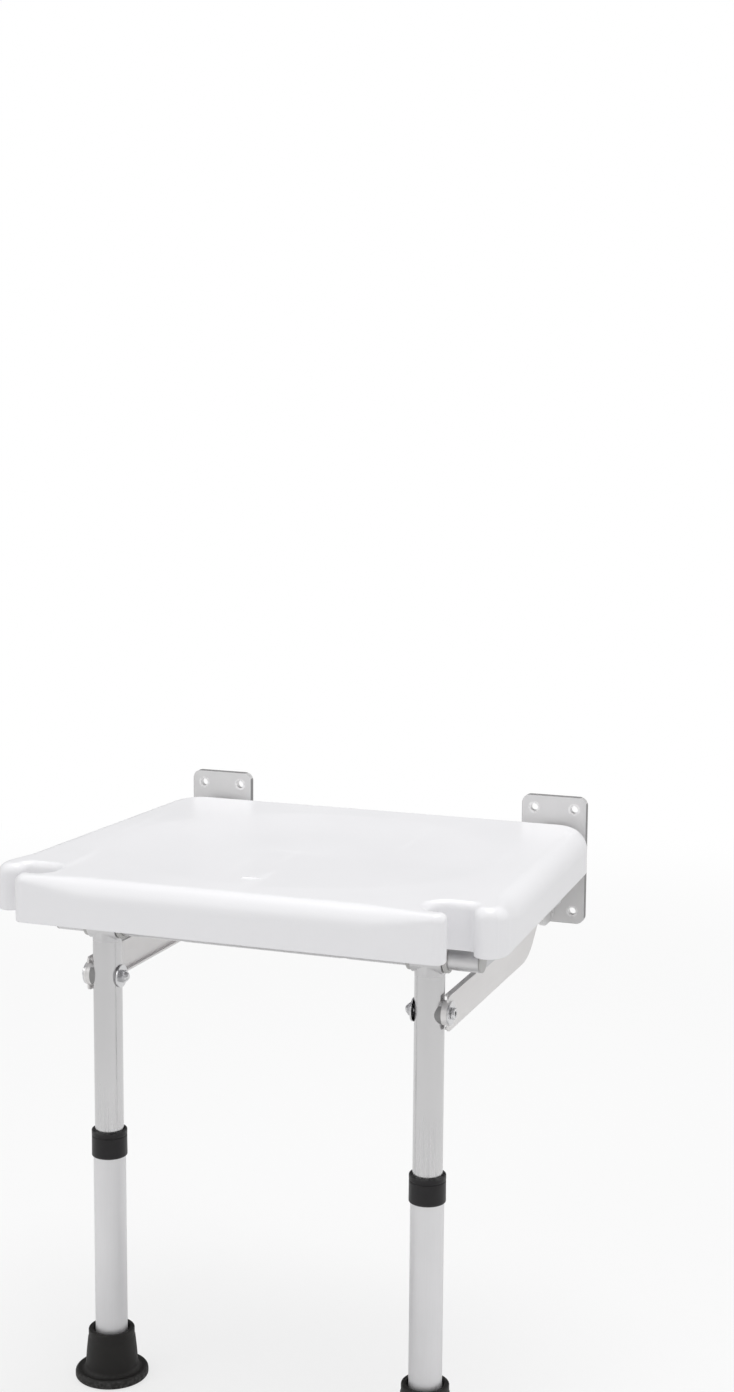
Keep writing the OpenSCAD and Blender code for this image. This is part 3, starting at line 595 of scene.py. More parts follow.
# Names, width of the rounding in millimetres, finish and steps of the rounding
softened = [
    (both("wall_bracket"), 0.9, bracket_metal, 3),
    (both("hinge_lug"), 0.5, bracket_metal, 2),
    (both("link"), 0.6, link_metal, 2),
    (both("side_rail"), 0.5, rail_metal, 2),
    (both("leg_head"), 0.6, cross_metal, 2),
    (["rail_end_plugs"], 0.8, grey_nylon, 3),
    (["saddle_blocks"], 1.5, white_block, 3),
    (["tube_end_plugs", "leg_locating_rings"], 0.8, grey_nylon, 3),
    (["rear_cross_bar"], 0.5, cross_metal, 2),
]
for names, width, material, segments in softened:
    for name in names:
        rounded_piece = soften(name, width, material, segments)
        print(rounded_piece.name, len(rounded_piece.data.polygons), "faces")

# %% [markdown]
# The board is the largest piece and the one that people touch. It is a thin
# moulded shell with a broad soft edge, a hooked notch at each front corner and
# ribs underneath. Seen from above its outline is a row of straight sides and
# arcs, so the outline is worked out once as points with outward normals, and
# each ring of the shell is that outline moved inwards and up.

# %% Measure the board
board_low, board_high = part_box("seat_board")
SEAT_TOP = board_high[2]
SEAT_LOW = board_low[2]
FRONT = board_low[1]
BACK = board_high[1]
WALL_SHIFT = cad_high[1]
print("board in millimetres:", [round(1000 * v, 1) for v in board_high - board_low])


def from_wall(distance):
    """Y of a place that lies this many millimetres out from the wall face."""
    return WALL_SHIFT - distance * MM


# %% Outline of the board
FRONT_HALF = 188
FINGER = 18
POCKET = 33
NOTCH_IN = 165.5
LOBE_IN = 201
LOBE_TIP = 6.9
SHOULDER_HALF = 227.4
SHOULDER_BACK = 44.8
BACK_HALF = 213.5
REACH = 397
GAP = 16
SOFT_EDGE = 18
NOTCH_EDGE = 7
BACK_EDGE = 10

# x, distance from the wall, corner radius and edge radius of the side that follows
right_half = [
    (FRONT_HALF, REACH, 8.4, NOTCH_EDGE),
    (FRONT_HALF, REACH - FINGER, 6.2, NOTCH_EDGE),
    (NOTCH_IN, REACH - FINGER, 15, NOTCH_EDGE),
    (NOTCH_IN, REACH - FINGER - POCKET, 15, NOTCH_EDGE),
    (LOBE_IN, REACH - FINGER - POCKET, 7, NOTCH_EDGE),
    (LOBE_IN, REACH - LOBE_TIP, 11.5, SOFT_EDGE),
    (SHOULDER_HALF, REACH - SHOULDER_BACK, 28, SOFT_EDGE),
    (BACK_HALF, GAP, 35, BACK_EDGE),
]
mirrored = []
for number in reversed(range(len(right_half))):
    x, out, radius, edge = right_half[number]
    following = right_half[number - 1][3] if number else SOFT_EDGE
    mirrored.append((-x, out, radius, following))
corners = right_half + mirrored
ARC_STEPS = 12
SIDE_STEP = 14.0


def outline_points():
    """Rows of place, outward normal and edge radius in millimetres, the wall at y = 0."""
    count = len(corners)
    places = [Vector((c[0], -c[1])) for c in corners]
    made = []
    for number in range(count):
        here = places[number]
        before = (here - places[number - 1]).normalized()
        after = (places[(number + 1) % count] - here).normalized()
        bend = math.atan2(before.x * after.y - before.y * after.x, before.dot(after))
        side = 1 if bend > 0 else -1
        radius = corners[number][2]
        reach = radius * math.tan(abs(bend) / 2)
        outward = Vector((before.y, -before.x))
        centre = here - before * reach - outward * radius * side
        first_edge = corners[number - 1][3]
        last_edge = corners[number][3]
        for step in range(ARC_STEPS + 1):
            share = step / ARC_STEPS
            angle = bend * share
            normal = Vector((outward.x * math.cos(angle) - outward.y * math.sin(angle),
                             outward.x * math.sin(angle) + outward.y * math.cos(angle)))
            eased = share * share * (3 - 2 * share)
            edge = first_edge + (last_edge - first_edge) * eased
            made.append((centre + normal * radius * side, normal, edge))
    return made


def with_side_points(made):
    """Adds points along the long straight sides, so that the edge radius can change slowly."""
    full = []
    for number, (place, normal, edge) in enumerate(made):
        full.append((place, normal, edge))
        following, next_normal, next_edge = made[(number + 1) % len(made)]
        length = (following - place).length
        if length > 2 * SIDE_STEP and normal.dot(next_normal) > 0.999:
            pieces = round(length / SIDE_STEP)
            for step in range(1, pieces):
                share = step / pieces
                full.append((place.lerp(following, share), normal,
                             edge + (next_edge - edge) * share))
    return full


# Share of the room at a point that its edge radius may take, and its change per millimetre
EDGE_SHARE = 0.82
EDGE_SLOPE = 0.22


def room_inside(here, normal, others):
    """Radius of the largest circle inside the outline that touches it at this point."""
    room = SOFT_EDGE / EDGE_SHARE
    for other in others:
        step = other - here
        depth = -step.dot(normal)
        if depth > 0.01:
            room = min(room, step.length_squared / (2 * depth))
    return room


def fitted_outline():
    """The outline with edge radii that fit its thin places and change slowly."""
    full = with_side_points(outline_points())
    places = [place for place, normal, edge in full]
    radii = [min(edge, EDGE_SHARE * room_inside(place, normal, places))
             for place, normal, edge in full]
    count = len(full)
    for way in (1, -1, 1, -1):
        for number in range(count)[::way]:
            neighbour = (number - way) % count
            length = (places[number] - places[neighbour]).length
            radii[number] = min(radii[number], radii[neighbour] + EDGE_SLOPE * length)
    return [(place, normal, radius) for (place, normal, edge), radius in zip(full, radii)]


outline = fitted_outline()
print("points round the board:", len(outline))


# %% Build a tower of rings
def put_ring(mesh_object, where, ring):
    """Moves the selected ring of vertices, found by its old places, to the new ring."""
    mesh = mesh_object.data
    bpy.ops.object.mode_set(mode="OBJECT")
    chosen = [v for v in mesh.vertices if v.select]
    lookup = {tuple(round(c, 6) for c in old): number for number, old in enumerate(where)}
    for vertex in chosen:
        vertex.co = ring[lookup[tuple(round(c, 6) for c in vertex.co)]]
    bpy.ops.object.mode_set(mode="EDIT")


def ring_tower(name, rings):
    """A closed solid: the first ring is a circle primitive, each further one an extrusion."""
    start_clean()
    bpy.ops.mesh.primitive_circle_add(vertices=len(rings[0]), radius=0.1, fill_type="NGON")
    tower = bpy.context.object
    tower.name = name
    for vertex, place in zip(tower.data.vertices, rings[0]):
        vertex.co = place
    edit_all()
    for below, above in zip(rings, rings[1:]):
        bpy.ops.mesh.extrude_region_move()
        put_ring(tower, [Vector(place) for place in below], above)
    bpy.ops.mesh.select_mode(type="FACE")
    bpy.ops.mesh.select_face_by_sides(number=4, type="GREATER", extend=False)
    bpy.ops.mesh.quads_convert_to_tris(ngon_method="BEAUTY")
    bpy.ops.mesh.select_mode(type="VERT")
    bpy.ops.object.mode_set(mode="OBJECT")
    face_outwards(tower)
    return tower


def board_ring(z_mm, inset):
    """The outline at one height, moved inwards by one distance."""
    return [Vector(((place - normal * inset).x * MM, WALL_SHIFT + (place - normal * inset).y * MM,
                    z_mm * MM)) for place, normal, edge in outline]


def soft_edge_ring(degrees):
    """The outline part of the way round the soft top edge."""
    angle = math.radians(degrees)
    ring = []
    for place, normal, edge in outline:
        inner = place - normal * edge * (1 - math.cos(angle))
        ring.append(Vector((inner.x * MM, WALL_SHIFT + inner.y * MM,
                            SEAT_TOP - edge * MM * (1 - math.sin(angle)))))
    return ring


# %% The outer skin of the board
low_mm = SEAT_LOW * 1000
RIM = 1.4
rim_rings = [board_ring(low_mm + RIM - RIM * math.sin(math.radians(a)),
                        RIM - RIM * math.cos(math.radians(a))) for a in (90, 60, 30, 0)]
edge_rings = [soft_edge_ring(a) for a in (0, 9, 18, 27, 36, 45, 54, 63, 72, 81, 90)]
board = ring_tower("moulded_board", rim_rings + edge_rings)
print("outer skin faces:", len(board.data.polygons))

# %% [markdown]
# The top is not quite flat. A shallow hollow makes it comfortable and lets
# water collect at a small mark near the front. A very large flattened ball is
# subtracted for the hollow and a small one for the mark.

# %% Hollow the top
def combine(piece, other, operation="DIFFERENCE"):
    """Takes the other solid away from the piece, or joins or intersects the two."""
    boolean = piece.modifiers.new("combine", "BOOLEAN")
    boolean.operation = operation
    boolean.solver = "MANIFOLD"
    boolean.object = other
    apply_modifiers(piece)
    bpy.data.objects.remove(other)


def flattened_ball(name, centre, half_sizes, segments, rings):
    """A ball scaled to its half sizes."""
    start_clean()
    bpy.ops.mesh.primitive_uv_sphere_add(segments=segments, ring_count=rings, radius=1,
                                         location=centre)
    ball = bpy.context.object
    ball.name = name
    ball.scale = half_sizes
    fix_place()
    return ball


DISH_DEPTH = 2.2 * MM
DISH_HALF = Vector((0.176, 0.150))
# A ball of this half height is lifted so that only its lowest part reaches the board
BALL_HALF = 0.05
dish_grow = 1 / math.sqrt(1 - ((BALL_HALF - DISH_DEPTH) / BALL_HALF) ** 2)
middle = (FRONT + BACK) / 2
dish = flattened_ball("dish_cutter", (0, middle, SEAT_TOP + BALL_HALF - DISH_DEPTH),
                      (DISH_HALF.x * dish_grow, DISH_HALF.y * dish_grow, BALL_HALF), 160, 160)
combine(board, dish)
MARK_OUT = 331
MARK_HALF = (0.009, 0.0055, 0.0012)
mark = flattened_ball("mark_cutter", (0, from_wall(MARK_OUT), SEAT_TOP - DISH_DEPTH * 0.35),
                      MARK_HALF, 48, 24)
combine(board, mark)

# %% [markdown]
# Underneath, the shell is open: 4 mm walls, a 5 mm top and a grid of thin
# ribs. The hollow is modelled as a solid of its own. It is subtracted from the
# board, and the ribs are kept only where they lie inside it.

# %% Hollow and ribs underneath
WALL = 4
SKIN = 5
ceiling = SEAT_TOP * 1000 - SKIN
shoulder = SEAT_TOP * 1000 - SOFT_EDGE - 3
RIB = 3
RIB_PITCH = 45
RIB_HALF_LENGTH = 228
RIB_LIFT = 2
BAR_OUT = 78
# How far a cutter passes a face, how far the two parts of the hollow overlap
CUT = 2
HOLLOW_OVERLAP = 6
# The hollow's upper part: distance inside the outline, cut corners, half width in front,
# and how far its front, its notch walls and the step behind the notches stay clear
INSET = 14
CUT_CORNER = 26
HOLLOW_FRONT_HALF = 212.7
HOLLOW_FRONT = 15
NOTCH_CLEAR = 9
NOTCH_STEP = 62


def slab(name, points, z_low, z_high):
    """A straight prism over points given as x and distance from the wall."""
    rings = [[Vector((x * MM, from_wall(out), z * MM)) for x, out in points]
             for z in (z_low, z_high)]
    return ring_tower(name, rings)


def block(name, x, out, z):
    """A box between two values along each axis, in millimetres."""
    return slab(name, [(x[0], out[1]), (x[1], out[1]), (x[1], out[0]), (x[0], out[0])], *z)


def hollow_shape(name):
    """The room under the top: the inset outline low down, a plain plan above the shoulder."""
    lower = ring_tower(name, [board_ring(low_mm - CUT, WALL), board_ring(shoulder, WALL)])
    wide_back = BACK_HALF - INSET
    back = GAP + INSET
    step = REACH - NOTCH_STEP
    narrow = NOTCH_IN - NOTCH_CLEAR
    right_side = [(narrow, REACH - HOLLOW_FRONT), (narrow, step), (HOLLOW_FRONT_HALF, step),
                  (wide_back, back + CUT_CORNER), (wide_back - CUT_CORNER, back)]
    left_side = [(-x, out) for x, out in reversed(right_side)]
    upper = slab(name + "_upper", left_side[-1:] + right_side + left_side[:-1],
                 shoulder - HOLLOW_OVERLAP, ceiling)
    combine(lower, upper, "UNION")
    return lower


combine(board, hollow_shape("hollow_cutter"))

rib_low = low_mm + RIB_LIFT
rib_heights = (rib_low, ceiling + 1)
rib_parts = []
for number in range(-4, 5):
    x = number * RIB_PITCH
    rib_parts.append(block("rib", (x - RIB / 2, x + RIB / 2), (GAP, REACH), rib_heights))
for number in range(-1, 7):
    out = BAR_OUT + number * RIB_PITCH
    rib_parts.append(block("rib", (-RIB_HALF_LENGTH, RIB_HALF_LENGTH),
                           (out - RIB / 2, out + RIB / 2), rib_heights))
ribs = rib_parts[0]
for part in rib_parts[1:]:
    combine(ribs, part, "UNION")
ribs.name = "board_ribs"
combine(ribs, hollow_shape("rib_limit"), "INTERSECT")
print("rib faces:", len(ribs.data.polygons))

# %% [markdown]
# At the back the brackets' ears reach into the board, and the hinge needs
# room. On each side a wide slot for the ear and a narrower, deeper pocket for
# the lug give it, as in the measured model.

# %% Room for the hinges
POCKET_IN = 160
NUT_ROOM = 3
POCKET_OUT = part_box("seat_hinge_nuts")[1][0] / MM + NUT_ROOM
POCKET_DEEP = 46
LUG_SIDE = 179
LUG_DEEP = 115
for side in (-1, 1):
    for x_far, out_far in ((POCKET_OUT, POCKET_DEEP), (LUG_SIDE, LUG_DEEP)):
        x_pair = sorted((side * POCKET_IN, side * x_far))
        for piece in (board, ribs):
            room = block("hinge_room", x_pair, (GAP - CUT, out_far), (low_mm - CUT, ceiling))
            combine(piece, room)

# %% A boss for each of the four seat screws
BOSS_RADIUS = 8
BOSS_SIDE = 75
TUBE_LINE = 303.5
BORE_RADIUS = 3.1
BORE_LENGTH = 36
for x in (-BOSS_SIDE, BOSS_SIDE):
    for out in (BAR_OUT, TUBE_LINE):
        place = (x * MM, from_wall(out))
        combine(ribs, cylinder(40, BOSS_RADIUS, ceiling - rib_low, *place,
                               (rib_low + ceiling) / 2), "UNION")
        combine(ribs, cylinder(32, BORE_RADIUS, BORE_LENGTH, *place, rib_low))

for piece in (board, ribs):
    settle(piece, white_seat, 34)
    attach(piece, "seat")
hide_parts("seat_board")
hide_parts("seat_board")
print("board faces:", len(board.data.polygons), "rib faces:", len(ribs.data.polygons))

# %% [markdown]
# The foot is one rubber moulding turned round the leg: a broad sole with a
# rounded rim, a waisted cup and a lip at the mouth. Half of its section is
# laid out as points and spun round the leg's axis. The sole gets rings of
# tread, so that it grips a wet floor.

# %% Spin a section round an upright axis
def spun(name, section, x, y, steps=72):
    """A solid of revolution. The section is a closed row of (radius, height) in millimetres."""
    start_clean()
    bpy.ops.mesh.primitive_circle_add(vertices=len(section), radius=0.01, fill_type="NOTHING")
    piece = bpy.context.object
    piece.name = name
    for vertex, (radius, height) in zip(piece.data.vertices, section):
        vertex.co = (x + radius * MM, y, height * MM)
    edit_all()
    bpy.ops.mesh.spin(steps=steps, angle=2 * math.pi, center=(x, y, 0), axis=(0, 0, 1))
    bpy.ops.mesh.select_all(action="SELECT")
    bpy.ops.mesh.remove_doubles(threshold=0.00001)
    bpy.ops.mesh.dissolve_degenerate(threshold=0.000005)
    bpy.ops.object.mode_set(mode="OBJECT")
    face_outwards(piece)
    return piece


def arc_points(centre, radius, start, end, steps):
    """Points on an arc of a section, angles in degrees."""
    turns = [math.radians(start + (end - start) * k / steps) for k in range(steps + 1)]
    return [(centre[0] + radius * math.cos(t), centre[1] + radius * math.sin(t)) for t in turns]


# %% Rubber feet
foot_low, foot_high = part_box("left_foot")
tube_low, tube_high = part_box("left_lower_tube")
SOLE = (foot_high[0] - foot_low[0]) / MM / 2
FOOT_TALL = (foot_high[2] - foot_low[2]) / MM
TUBE_OUT = (tube_high[0] - tube_low[0]) / MM / 2
LEG_Y = (foot_low[1] + foot_high[1]) / 2
LEG_X = (foot_low[0] + foot_high[0]) / 2
FLANGE = 8.0
CUP_LOW = 23.5
CUP_TOP = 20.5
TREAD_DEPTH = 1.2
BED = 8.1

tread = []
for ring_radius in (8, 13.5, 19, 24.5):
    tread += [(ring_radius, 0.0), (ring_radius + 0.5, TREAD_DEPTH),
              (ring_radius + 2.0, TREAD_DEPTH), (ring_radius + 2.5, 0.0)]
foot_section = (
    [(0.01, 0.0)] + tread
    + arc_points((SOLE - 2.4, 2.4), 2.4, -90, 0, 6)
    + arc_points((SOLE - 3.4, FLANGE - 3.4), 3.4, 0, 78, 8)
    + arc_points((CUP_LOW + 4.2, FLANGE + 3.6), 4.2, 262, 186, 8)
    + [(CUP_LOW - 0.35, 14.0), (CUP_LOW - 1.1, 24.0), (CUP_TOP + 0.95, 33.0),
       (CUP_TOP + 0.55, 36.6), (CUP_TOP + 0.05, 37.6), (CUP_TOP - 0.05, 38.4)]
    + arc_points((CUP_TOP - 1.6, FOOT_TALL - 1.6), 1.6, 0, 90, 6)
    + arc_points((CUP_TOP - 3.4, FOOT_TALL - 1.0), 1.0, 90, 180, 4)
    + [(CUP_TOP - 4.5, FOOT_TALL - 3.0), (TUBE_OUT + 0.02, FOOT_TALL - 5.0),
       (TUBE_OUT + 0.02, BED), (0.01, BED)]
)
left_foot = spun("moulded_foot_left", foot_section, LEG_X, LEG_Y, 96)
settle(left_foot, black_rubber, 30)
print("foot faces:", len(left_foot.data.polygons))


def twin(piece, name, shift_x):
    """A copy of a piece, moved along X."""
    copy = fresh_copy(piece, name)
    copy.location.x += shift_x
    fix_place()
    return copy


LEG_GAP = -2 * LEG_X
right_foot = twin(left_foot, "moulded_foot_right", LEG_GAP)
for side, piece in (("left", left_foot), ("right", right_foot)):
    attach(piece, side + "_lower_leg")
    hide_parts(side + "_foot")

# %% [markdown]
# The collar closes the lower tube and guides the upper one. It is a plain
# black ring with a fine groove near its mouth, slightly rounded at both ends.

# %% Collars
collar_low, collar_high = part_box("left_collar")
COLLAR_OUT = (collar_high[0] - collar_low[0]) / MM / 2
COLLAR_FROM = collar_low[2] / MM
COLLAR_TO = collar_high[2] / MM
upper_low, upper_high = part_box("left_upper_tube")
UPPER_OUT = (upper_high[0] - upper_low[0]) / MM / 2
TUBE_TOP = tube_high[2] / MM

collar_section = (
    [(TUBE_OUT + 0.02, COLLAR_FROM)]
    + arc_points((COLLAR_OUT - 0.7, COLLAR_FROM + 0.7), 0.7, -90, 0, 4)
    + [(COLLAR_OUT - 0.12, COLLAR_TO - 7.0)]
    + arc_points((COLLAR_OUT - 0.6, COLLAR_TO - 6.2), 0.5, 0, 80, 3)
    + [(COLLAR_OUT - 0.62, COLLAR_TO - 5.3), (COLLAR_OUT - 0.62, COLLAR_TO - 4.8)]
    + arc_points((COLLAR_OUT - 0.5, COLLAR_TO - 4.2), 0.45, -80, 0, 3)
    + arc_points((COLLAR_OUT - 1.25, COLLAR_TO - 1.2), 1.2, 0, 90, 6)
    + [(UPPER_OUT + 0.5, COLLAR_TO), (UPPER_OUT + 0.16, COLLAR_TO - 0.5),
       (UPPER_OUT + 0.16, TUBE_TOP + 0.02), (TUBE_OUT + 0.02, TUBE_TOP + 0.02)]
)
left_collar = spun("moulded_collar_left", collar_section, LEG_X, LEG_Y, 96)
settle(left_collar, black_plastic, 30)
right_collar = twin(left_collar, "moulded_collar_right", LEG_GAP)
for side, piece in (("left", left_collar), ("right", right_collar)):
    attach(piece, side + "_lower_leg")
    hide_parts(side + "_collar")

# %% [markdown]
# The pivots are held by socket head bolts with thin washers and by lock nuts
# with a plastic ring, made here as a round collar in the nut's own zinc. At this
# size the chamfers and the socket are what the eye catches. A bolt is modelled once, standing on
# the origin, and copies
# are turned and moved to each pivot.

# %% A socket head bolt and a lock nut
def socket_bolt(name, shank, length, head, head_tall, socket, depth):
    """A bolt whose head sits on z = 0 and points up, in millimetres."""
    section = (
        [(0.01, -length)]
        + [(shank - 0.7, -length), (shank, -length + 0.7), (shank, 0.0)]
        + [(head - 0.5, 0.0), (head, 0.3)]
        + arc_points((head - 0.9, head_tall - 0.9), 0.9, 0, 90, 6)
        + [(socket + 0.9, head_tall), (socket + 0.45, head_tall - 0.35), (0.01, head_tall - 0.35)]
    )
    bolt = spun(name, section, 0, 0, 48)
    combine(bolt, cylinder(6, socket, 2 * depth, z=head_tall))
    return bolt


def lock_nut(name, bore, across, tall):
    """A hexagon nut that stands on z = 0, chamfered by a cone, with a round collar on top.
    The bore is a radius and across is the radius at the corners, both in millimetres."""
    nut = cylinder(6, across, tall * 0.72, z=tall * 0.36)
    nut.name = name
    limit = spun("nut_limit", [(0.01, -0.1), (across * 0.9, -0.1), (across + 0.1, 0.7),
                               (across + 0.1, tall * 0.60), (across * 0.88, tall * 0.8),
                               (0.01, tall * 0.8)], 0, 0, 48)
    combine(nut, limit, "INTERSECT")
    collar = spun("nut_collar", [(0.01, tall * 0.5), (across * 0.74, tall * 0.5),
                                 (across * 0.74, tall * 0.9)]
                  + arc_points((across * 0.74 - 0.6, tall - 0.6), 0.6, 0, 90, 4)
                  + [(0.01, tall)], 0, 0, 48)
    combine(nut, collar, "UNION")
    combine(nut, cylinder(40, bore, 4 * tall))
    return nut


def aim(piece, name, x, y, z, way):
    """A copy of a fastener, its top turned towards +X or -X, moved to its place in metres."""
    copy = fresh_copy(piece, name)
    copy.rotation_euler = (0, way * math.pi / 2, 0)
    copy.location = (x, y, z)
    fix_place()
    return copy


def join_all(pieces_to_join, name):
    start_clean()
    for piece in pieces_to_join:
        piece.select_set(True)
    bpy.context.view_layer.objects.active = pieces_to_join[0]
    bpy.ops.object.join()
    joined = bpy.context.object
    joined.name = name
    return joined


def pivot_place(name):
    """Middle of a group of fasteners across Y and Z."""
    low_corner, high_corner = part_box(name)
    return (low_corner[1] + high_corner[1]) / 2, (low_corner[2] + high_corner[2]) / 2


# %% Bolts and nuts of the leg pivots
SHANK = 3.0
HEAD = 4.95
LOW_HEAD = 3.4
TALL_HEAD = 4.6
SOCKET = 2.4
LOW_SOCKET_DEEP = 2.1
TALL_SOCKET_DEEP = 2.3
NUT_CORNER = 5.5
bolt_low, bolt_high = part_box("left_pivot_bolt")
low_head = socket_bolt("low_head_bolt", SHANK, (bolt_high[0] - bolt_low[0]) / MM - LOW_HEAD,
                       HEAD, LOW_HEAD, SOCKET, LOW_SOCKET_DEEP)
nut_low, nut_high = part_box("left_pivot_nut")
nut_shape = lock_nut("lock_nut", SHANK, NUT_CORNER, (nut_high[0] - nut_low[0]) / MM)
for side, sign in (("left", -1), ("right", 1)):
    y, z = pivot_place(side + "_pivot_bolt")
    bolt_low, bolt_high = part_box(side + "_pivot_bolt")
    outer = bolt_high[0] if sign > 0 else bolt_low[0]
    bolt = aim(low_head, side + "_leg_pivot_bolt", outer - sign * LOW_HEAD * MM, y, z, sign)
    settle(bolt, bright_zinc, 30)
    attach(bolt, side + "_leg")
    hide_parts(side + "_pivot_bolt")
    nut_low, nut_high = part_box(side + "_pivot_nut")
    seat_face = nut_high[0] if sign > 0 else nut_low[0]
    nut = aim(nut_shape, side + "_leg_pivot_nut", seat_face, y, z, -sign)
    settle(nut, bright_zinc, 30)
    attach(nut, side + "_leg")
    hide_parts(side + "_pivot_nut")

# %% Bolts and nuts of the wall brackets
# Distance in millimetres from the middle of the seat to each bolt head's bearing face
EAR_IN = 166.6
LINK_HEAD_FACE = 162.6
HEAD_FACE = {"seat_hinge": EAR_IN, "link_hinge": LINK_HEAD_FACE}
for group, head_face in HEAD_FACE.items():
    y, z = pivot_place(group + "_bolts")
    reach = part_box(group + "_bolts")[1][0] / MM
    nut_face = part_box(group + "_washers")[1][0]
    tall_head = socket_bolt("tall_head_bolt", SHANK, reach - head_face, HEAD, TALL_HEAD,
                            SOCKET, TALL_SOCKET_DEEP)
    made_bolts = []
    made_nuts = []
    for sign in (-1, 1):
        made_nuts.append(aim(nut_shape, "nut", sign * nut_face, y, z, sign))
        made_bolts.append(aim(tall_head, "bolt", sign * head_face * MM, y, z, -sign))
    bpy.data.objects.remove(tall_head)
    for made, kind in ((made_bolts, "_bolts"), (made_nuts, "_nuts")):
        joined = join_all(made, group + kind + "_turned")
        settle(joined, bright_zinc, 30)
        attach(joined, "wall")
        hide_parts(group + kind)
for spare in (low_head, nut_shape):
    bpy.data.objects.remove(spare)
print("fasteners done")

# %% [markdown]
# The pivot ears are welded to their plates, the lugs to the rails and the
# rails to the cross tube. A weld bead is a thin rod along the joint whose
# radius swells and shrinks with each drop of metal, and whose ends fade out.

# %% Weld beads
DROP = 1.7
RINGS_PER_DROP = 5
BEAD_SIDES = 12


def weld_bead(name, path, radius, body):
    """A bead along (x, out, z) points in millimetres. The path stays at one x."""
    places = [Vector((x * MM, from_wall(out), z * MM)) for x, out, z in path]
    total = sum((b - a).length for a, b in zip(places, places[1:]))
    count = round(total / (DROP * MM)) * RINGS_PER_DROP
    across = Vector((1, 0, 0))
    rings = []
    for number in range(count + 1):
        share = number / count
        along = share * (len(places) - 1)
        first = min(int(along), len(places) - 2)
        middle = places[first].lerp(places[first + 1], along - first)
        outward = (places[first + 1] - places[first]).normalized().cross(across)
        swell = 1 + 0.13 * math.cos(2 * math.pi * number / RINGS_PER_DROP)
        fade = min(1, 0.35 + 8 * min(share, 1 - share))
        thick = radius * swell * fade * MM
        rings.append([middle + thick * (math.cos(turn) * across + math.sin(turn) * outward)
                      for turn in (2 * math.pi * k / BEAD_SIDES for k in range(BEAD_SIDES))])
    bead = ring_tower(name, rings)
    settle(bead, bracket_metal, 60)
    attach(bead, body)


EAR_OUT = 171.6
PLATE_FACE = 6.0
EAR_ROOT = (380, 436)
EAR_BEAD = 1.9
BESIDE_EAR = 0.4
OFF_FACE = 0.3
TUBE_BEAD = 1.3
LUG_BEAD = 1.4
CROSS_Z = 416.5
CROSS_RADIUS = 10.0
RAIL_IN = 178.0
LUG_FOOT = [(62, 412.2), (98, 412.2)]
cope = [math.radians(a) for a in range(-56, 57, 8)]
for side, sign in (("left", -1), ("right", 1)):
    for face, which in ((EAR_IN - BESIDE_EAR, "inner"), (EAR_OUT + BESIDE_EAR, "outer")):
        weld_bead(side + "_ear_weld_" + which,
                  [(sign * face, PLATE_FACE + OFF_FACE, z) for z in EAR_ROOT], EAR_BEAD, "wall")
    weld_bead(side + "_tube_weld",
              [(sign * RAIL_IN, TUBE_LINE - (CROSS_RADIUS + OFF_FACE) * math.cos(a),
                CROSS_Z + (CROSS_RADIUS + OFF_FACE) * math.sin(a)) for a in cope],
              TUBE_BEAD, "seat")
    weld_bead(side + "_lug_weld", [(sign * RAIL_IN, out, z) for out, z in LUG_FOOT],
              LUG_BEAD, "seat")
print("weld beads done")

# %% [markdown]
# The seat stands on a plain pale floor in a white room. For the camera alone
# the floor has some glow of its own, so that it stays pale and still shows the
# soft shadow of the feet. Further away the glow takes over, so that the floor
# runs into the white room.

# %% Floor and room light
FLOOR_SIDE = 14.0
FLOOR_DROP = 0.0005
NEAR_GLOW = 0.7
# Squares of the distances in metres between which the glow takes over
GLOW_FROM = 0.2
GLOW_TO = 6.0
bpy.ops.object.select_all(action="DESELECT")
bpy.ops.mesh.primitive_plane_add(size=FLOOR_SIDE, location=(0, 0, -FLOOR_DROP))
floor = bpy.context.object
floor.name = "pale_floor"
floor_finish = Finish("pale_floor_paint", (0.80, 0.80, 0.80), 0.9)
tree = floor_finish.tree
rays = tree.nodes.new("ShaderNodeLightPath")
seen = floor_finish.node("Emission", inputs={"Color": (1, 1, 1, 1), "Strength": 1.0})
x, y = floor_finish.part_of(0), floor_finish.part_of(1)
far = floor_finish.rising(x * x + y * y, GLOW_FROM, GLOW_TO)
mask = Wire(tree, rays.outputs["Is Camera Ray"]) * (NEAR_GLOW + (1 - NEAR_GLOW) * far)
mixed = floor_finish.node("MixShader", inputs={0: mask})
tree.links.new(floor_finish.shader.outputs[0], mixed.socket.node.inputs[1])
tree.links.new(seen.socket, mixed.socket.node.inputs[2])
tree.links.new(mixed.socket, tree.nodes["Material Output"].inputs["Surface"])
floor.data.materials.append(floor_finish.material)

# Metal mirrors two bright walls and two darker ones, because it needs both to
# look like metal.
ROOM_LIGHT = 0.75
SIDE_WALLS = 1.30
FRONT_WALL = 0.30
BACK_WALL = 0.03
CEILING_LIGHT = 0.6
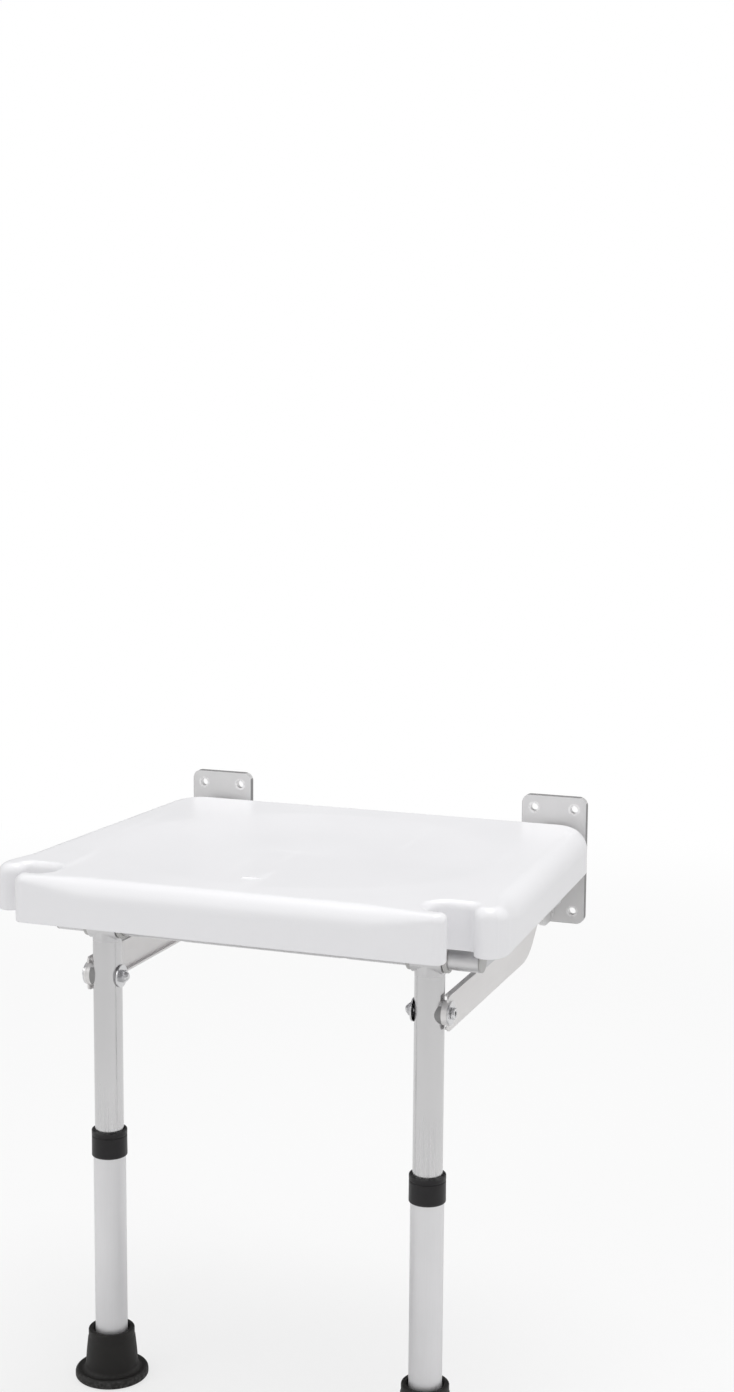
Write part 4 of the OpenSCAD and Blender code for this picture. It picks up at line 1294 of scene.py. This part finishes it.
# The bright walls stand to the left in front and to the right behind
bright_turn = math.radians(121.5)
BRIGHT_WAY = (math.sin(bright_turn), -math.cos(bright_turn))
world = bpy.data.worlds.new("white_room")
bpy.context.scene.world = world
world.use_nodes = True
room = world.node_tree
background = room.nodes["Background"]
background.inputs["Color"].default_value = (1, 1, 1, 1)
room_rays = room.nodes.new("ShaderNodeLightPath")
seen_by_camera = Wire(room, room_rays.outputs["Is Camera Ray"])
seen_in_gloss = Wire(room, room_rays.outputs["Is Glossy Ray"])
way = room.nodes.new("ShaderNodeSeparateXYZ")
room.links.new(room.nodes.new("ShaderNodeTexCoord").outputs["Generated"], way.inputs[0])
backwards = Wire(room, way.outputs[1])
towards_walls = BRIGHT_WAY[0] * Wire(room, way.outputs[0]) + BRIGHT_WAY[1] * backwards
upwards = Wire(room, way.outputs[2])
end_walls = (FRONT_WALL + BACK_WALL) / 2 - (FRONT_WALL - BACK_WALL) / 2 * backwards
walls = end_walls + (SIDE_WALLS - end_walls) * towards_walls ** 4
mirrored_room = walls + CEILING_LIGHT * upwards * upwards
plain_room = ROOM_LIGHT + (1.0 - ROOM_LIGHT) * seen_by_camera
brightness = plain_room + seen_in_gloss * (mirrored_room - ROOM_LIGHT)
room.links.new(brightness.socket, background.inputs["Strength"])


# %% Soft lamps
def add_softbox(name, place, target, side, power):
    lamp_data = bpy.data.lights.new(name, "AREA")
    lamp_data.shape = "SQUARE"
    lamp_data.size = side
    lamp_data.energy = power
    lamp = bpy.data.objects.new(name, lamp_data)
    lamp.location = place
    lamp.rotation_euler = (Vector(target) - Vector(place)).to_track_quat("-Z", "Y").to_euler()
    bpy.context.collection.objects.link(lamp)
    return lamp


add_softbox("key_softbox", (-1.4, -1.9, 2.2), (0, 0, 0.35), 1.4, 7)
fill = add_softbox("fill_softbox", (2.0, -1.6, 1.2), (0, 0, 0.3), 1.6, 5)
fill.visible_glossy = False
add_softbox("top_softbox", (0.2, 0.4, 2.4), (0, 0, 0.4), 1.2, 20)

scene = bpy.context.scene
scene.view_settings.view_transform = "Standard"
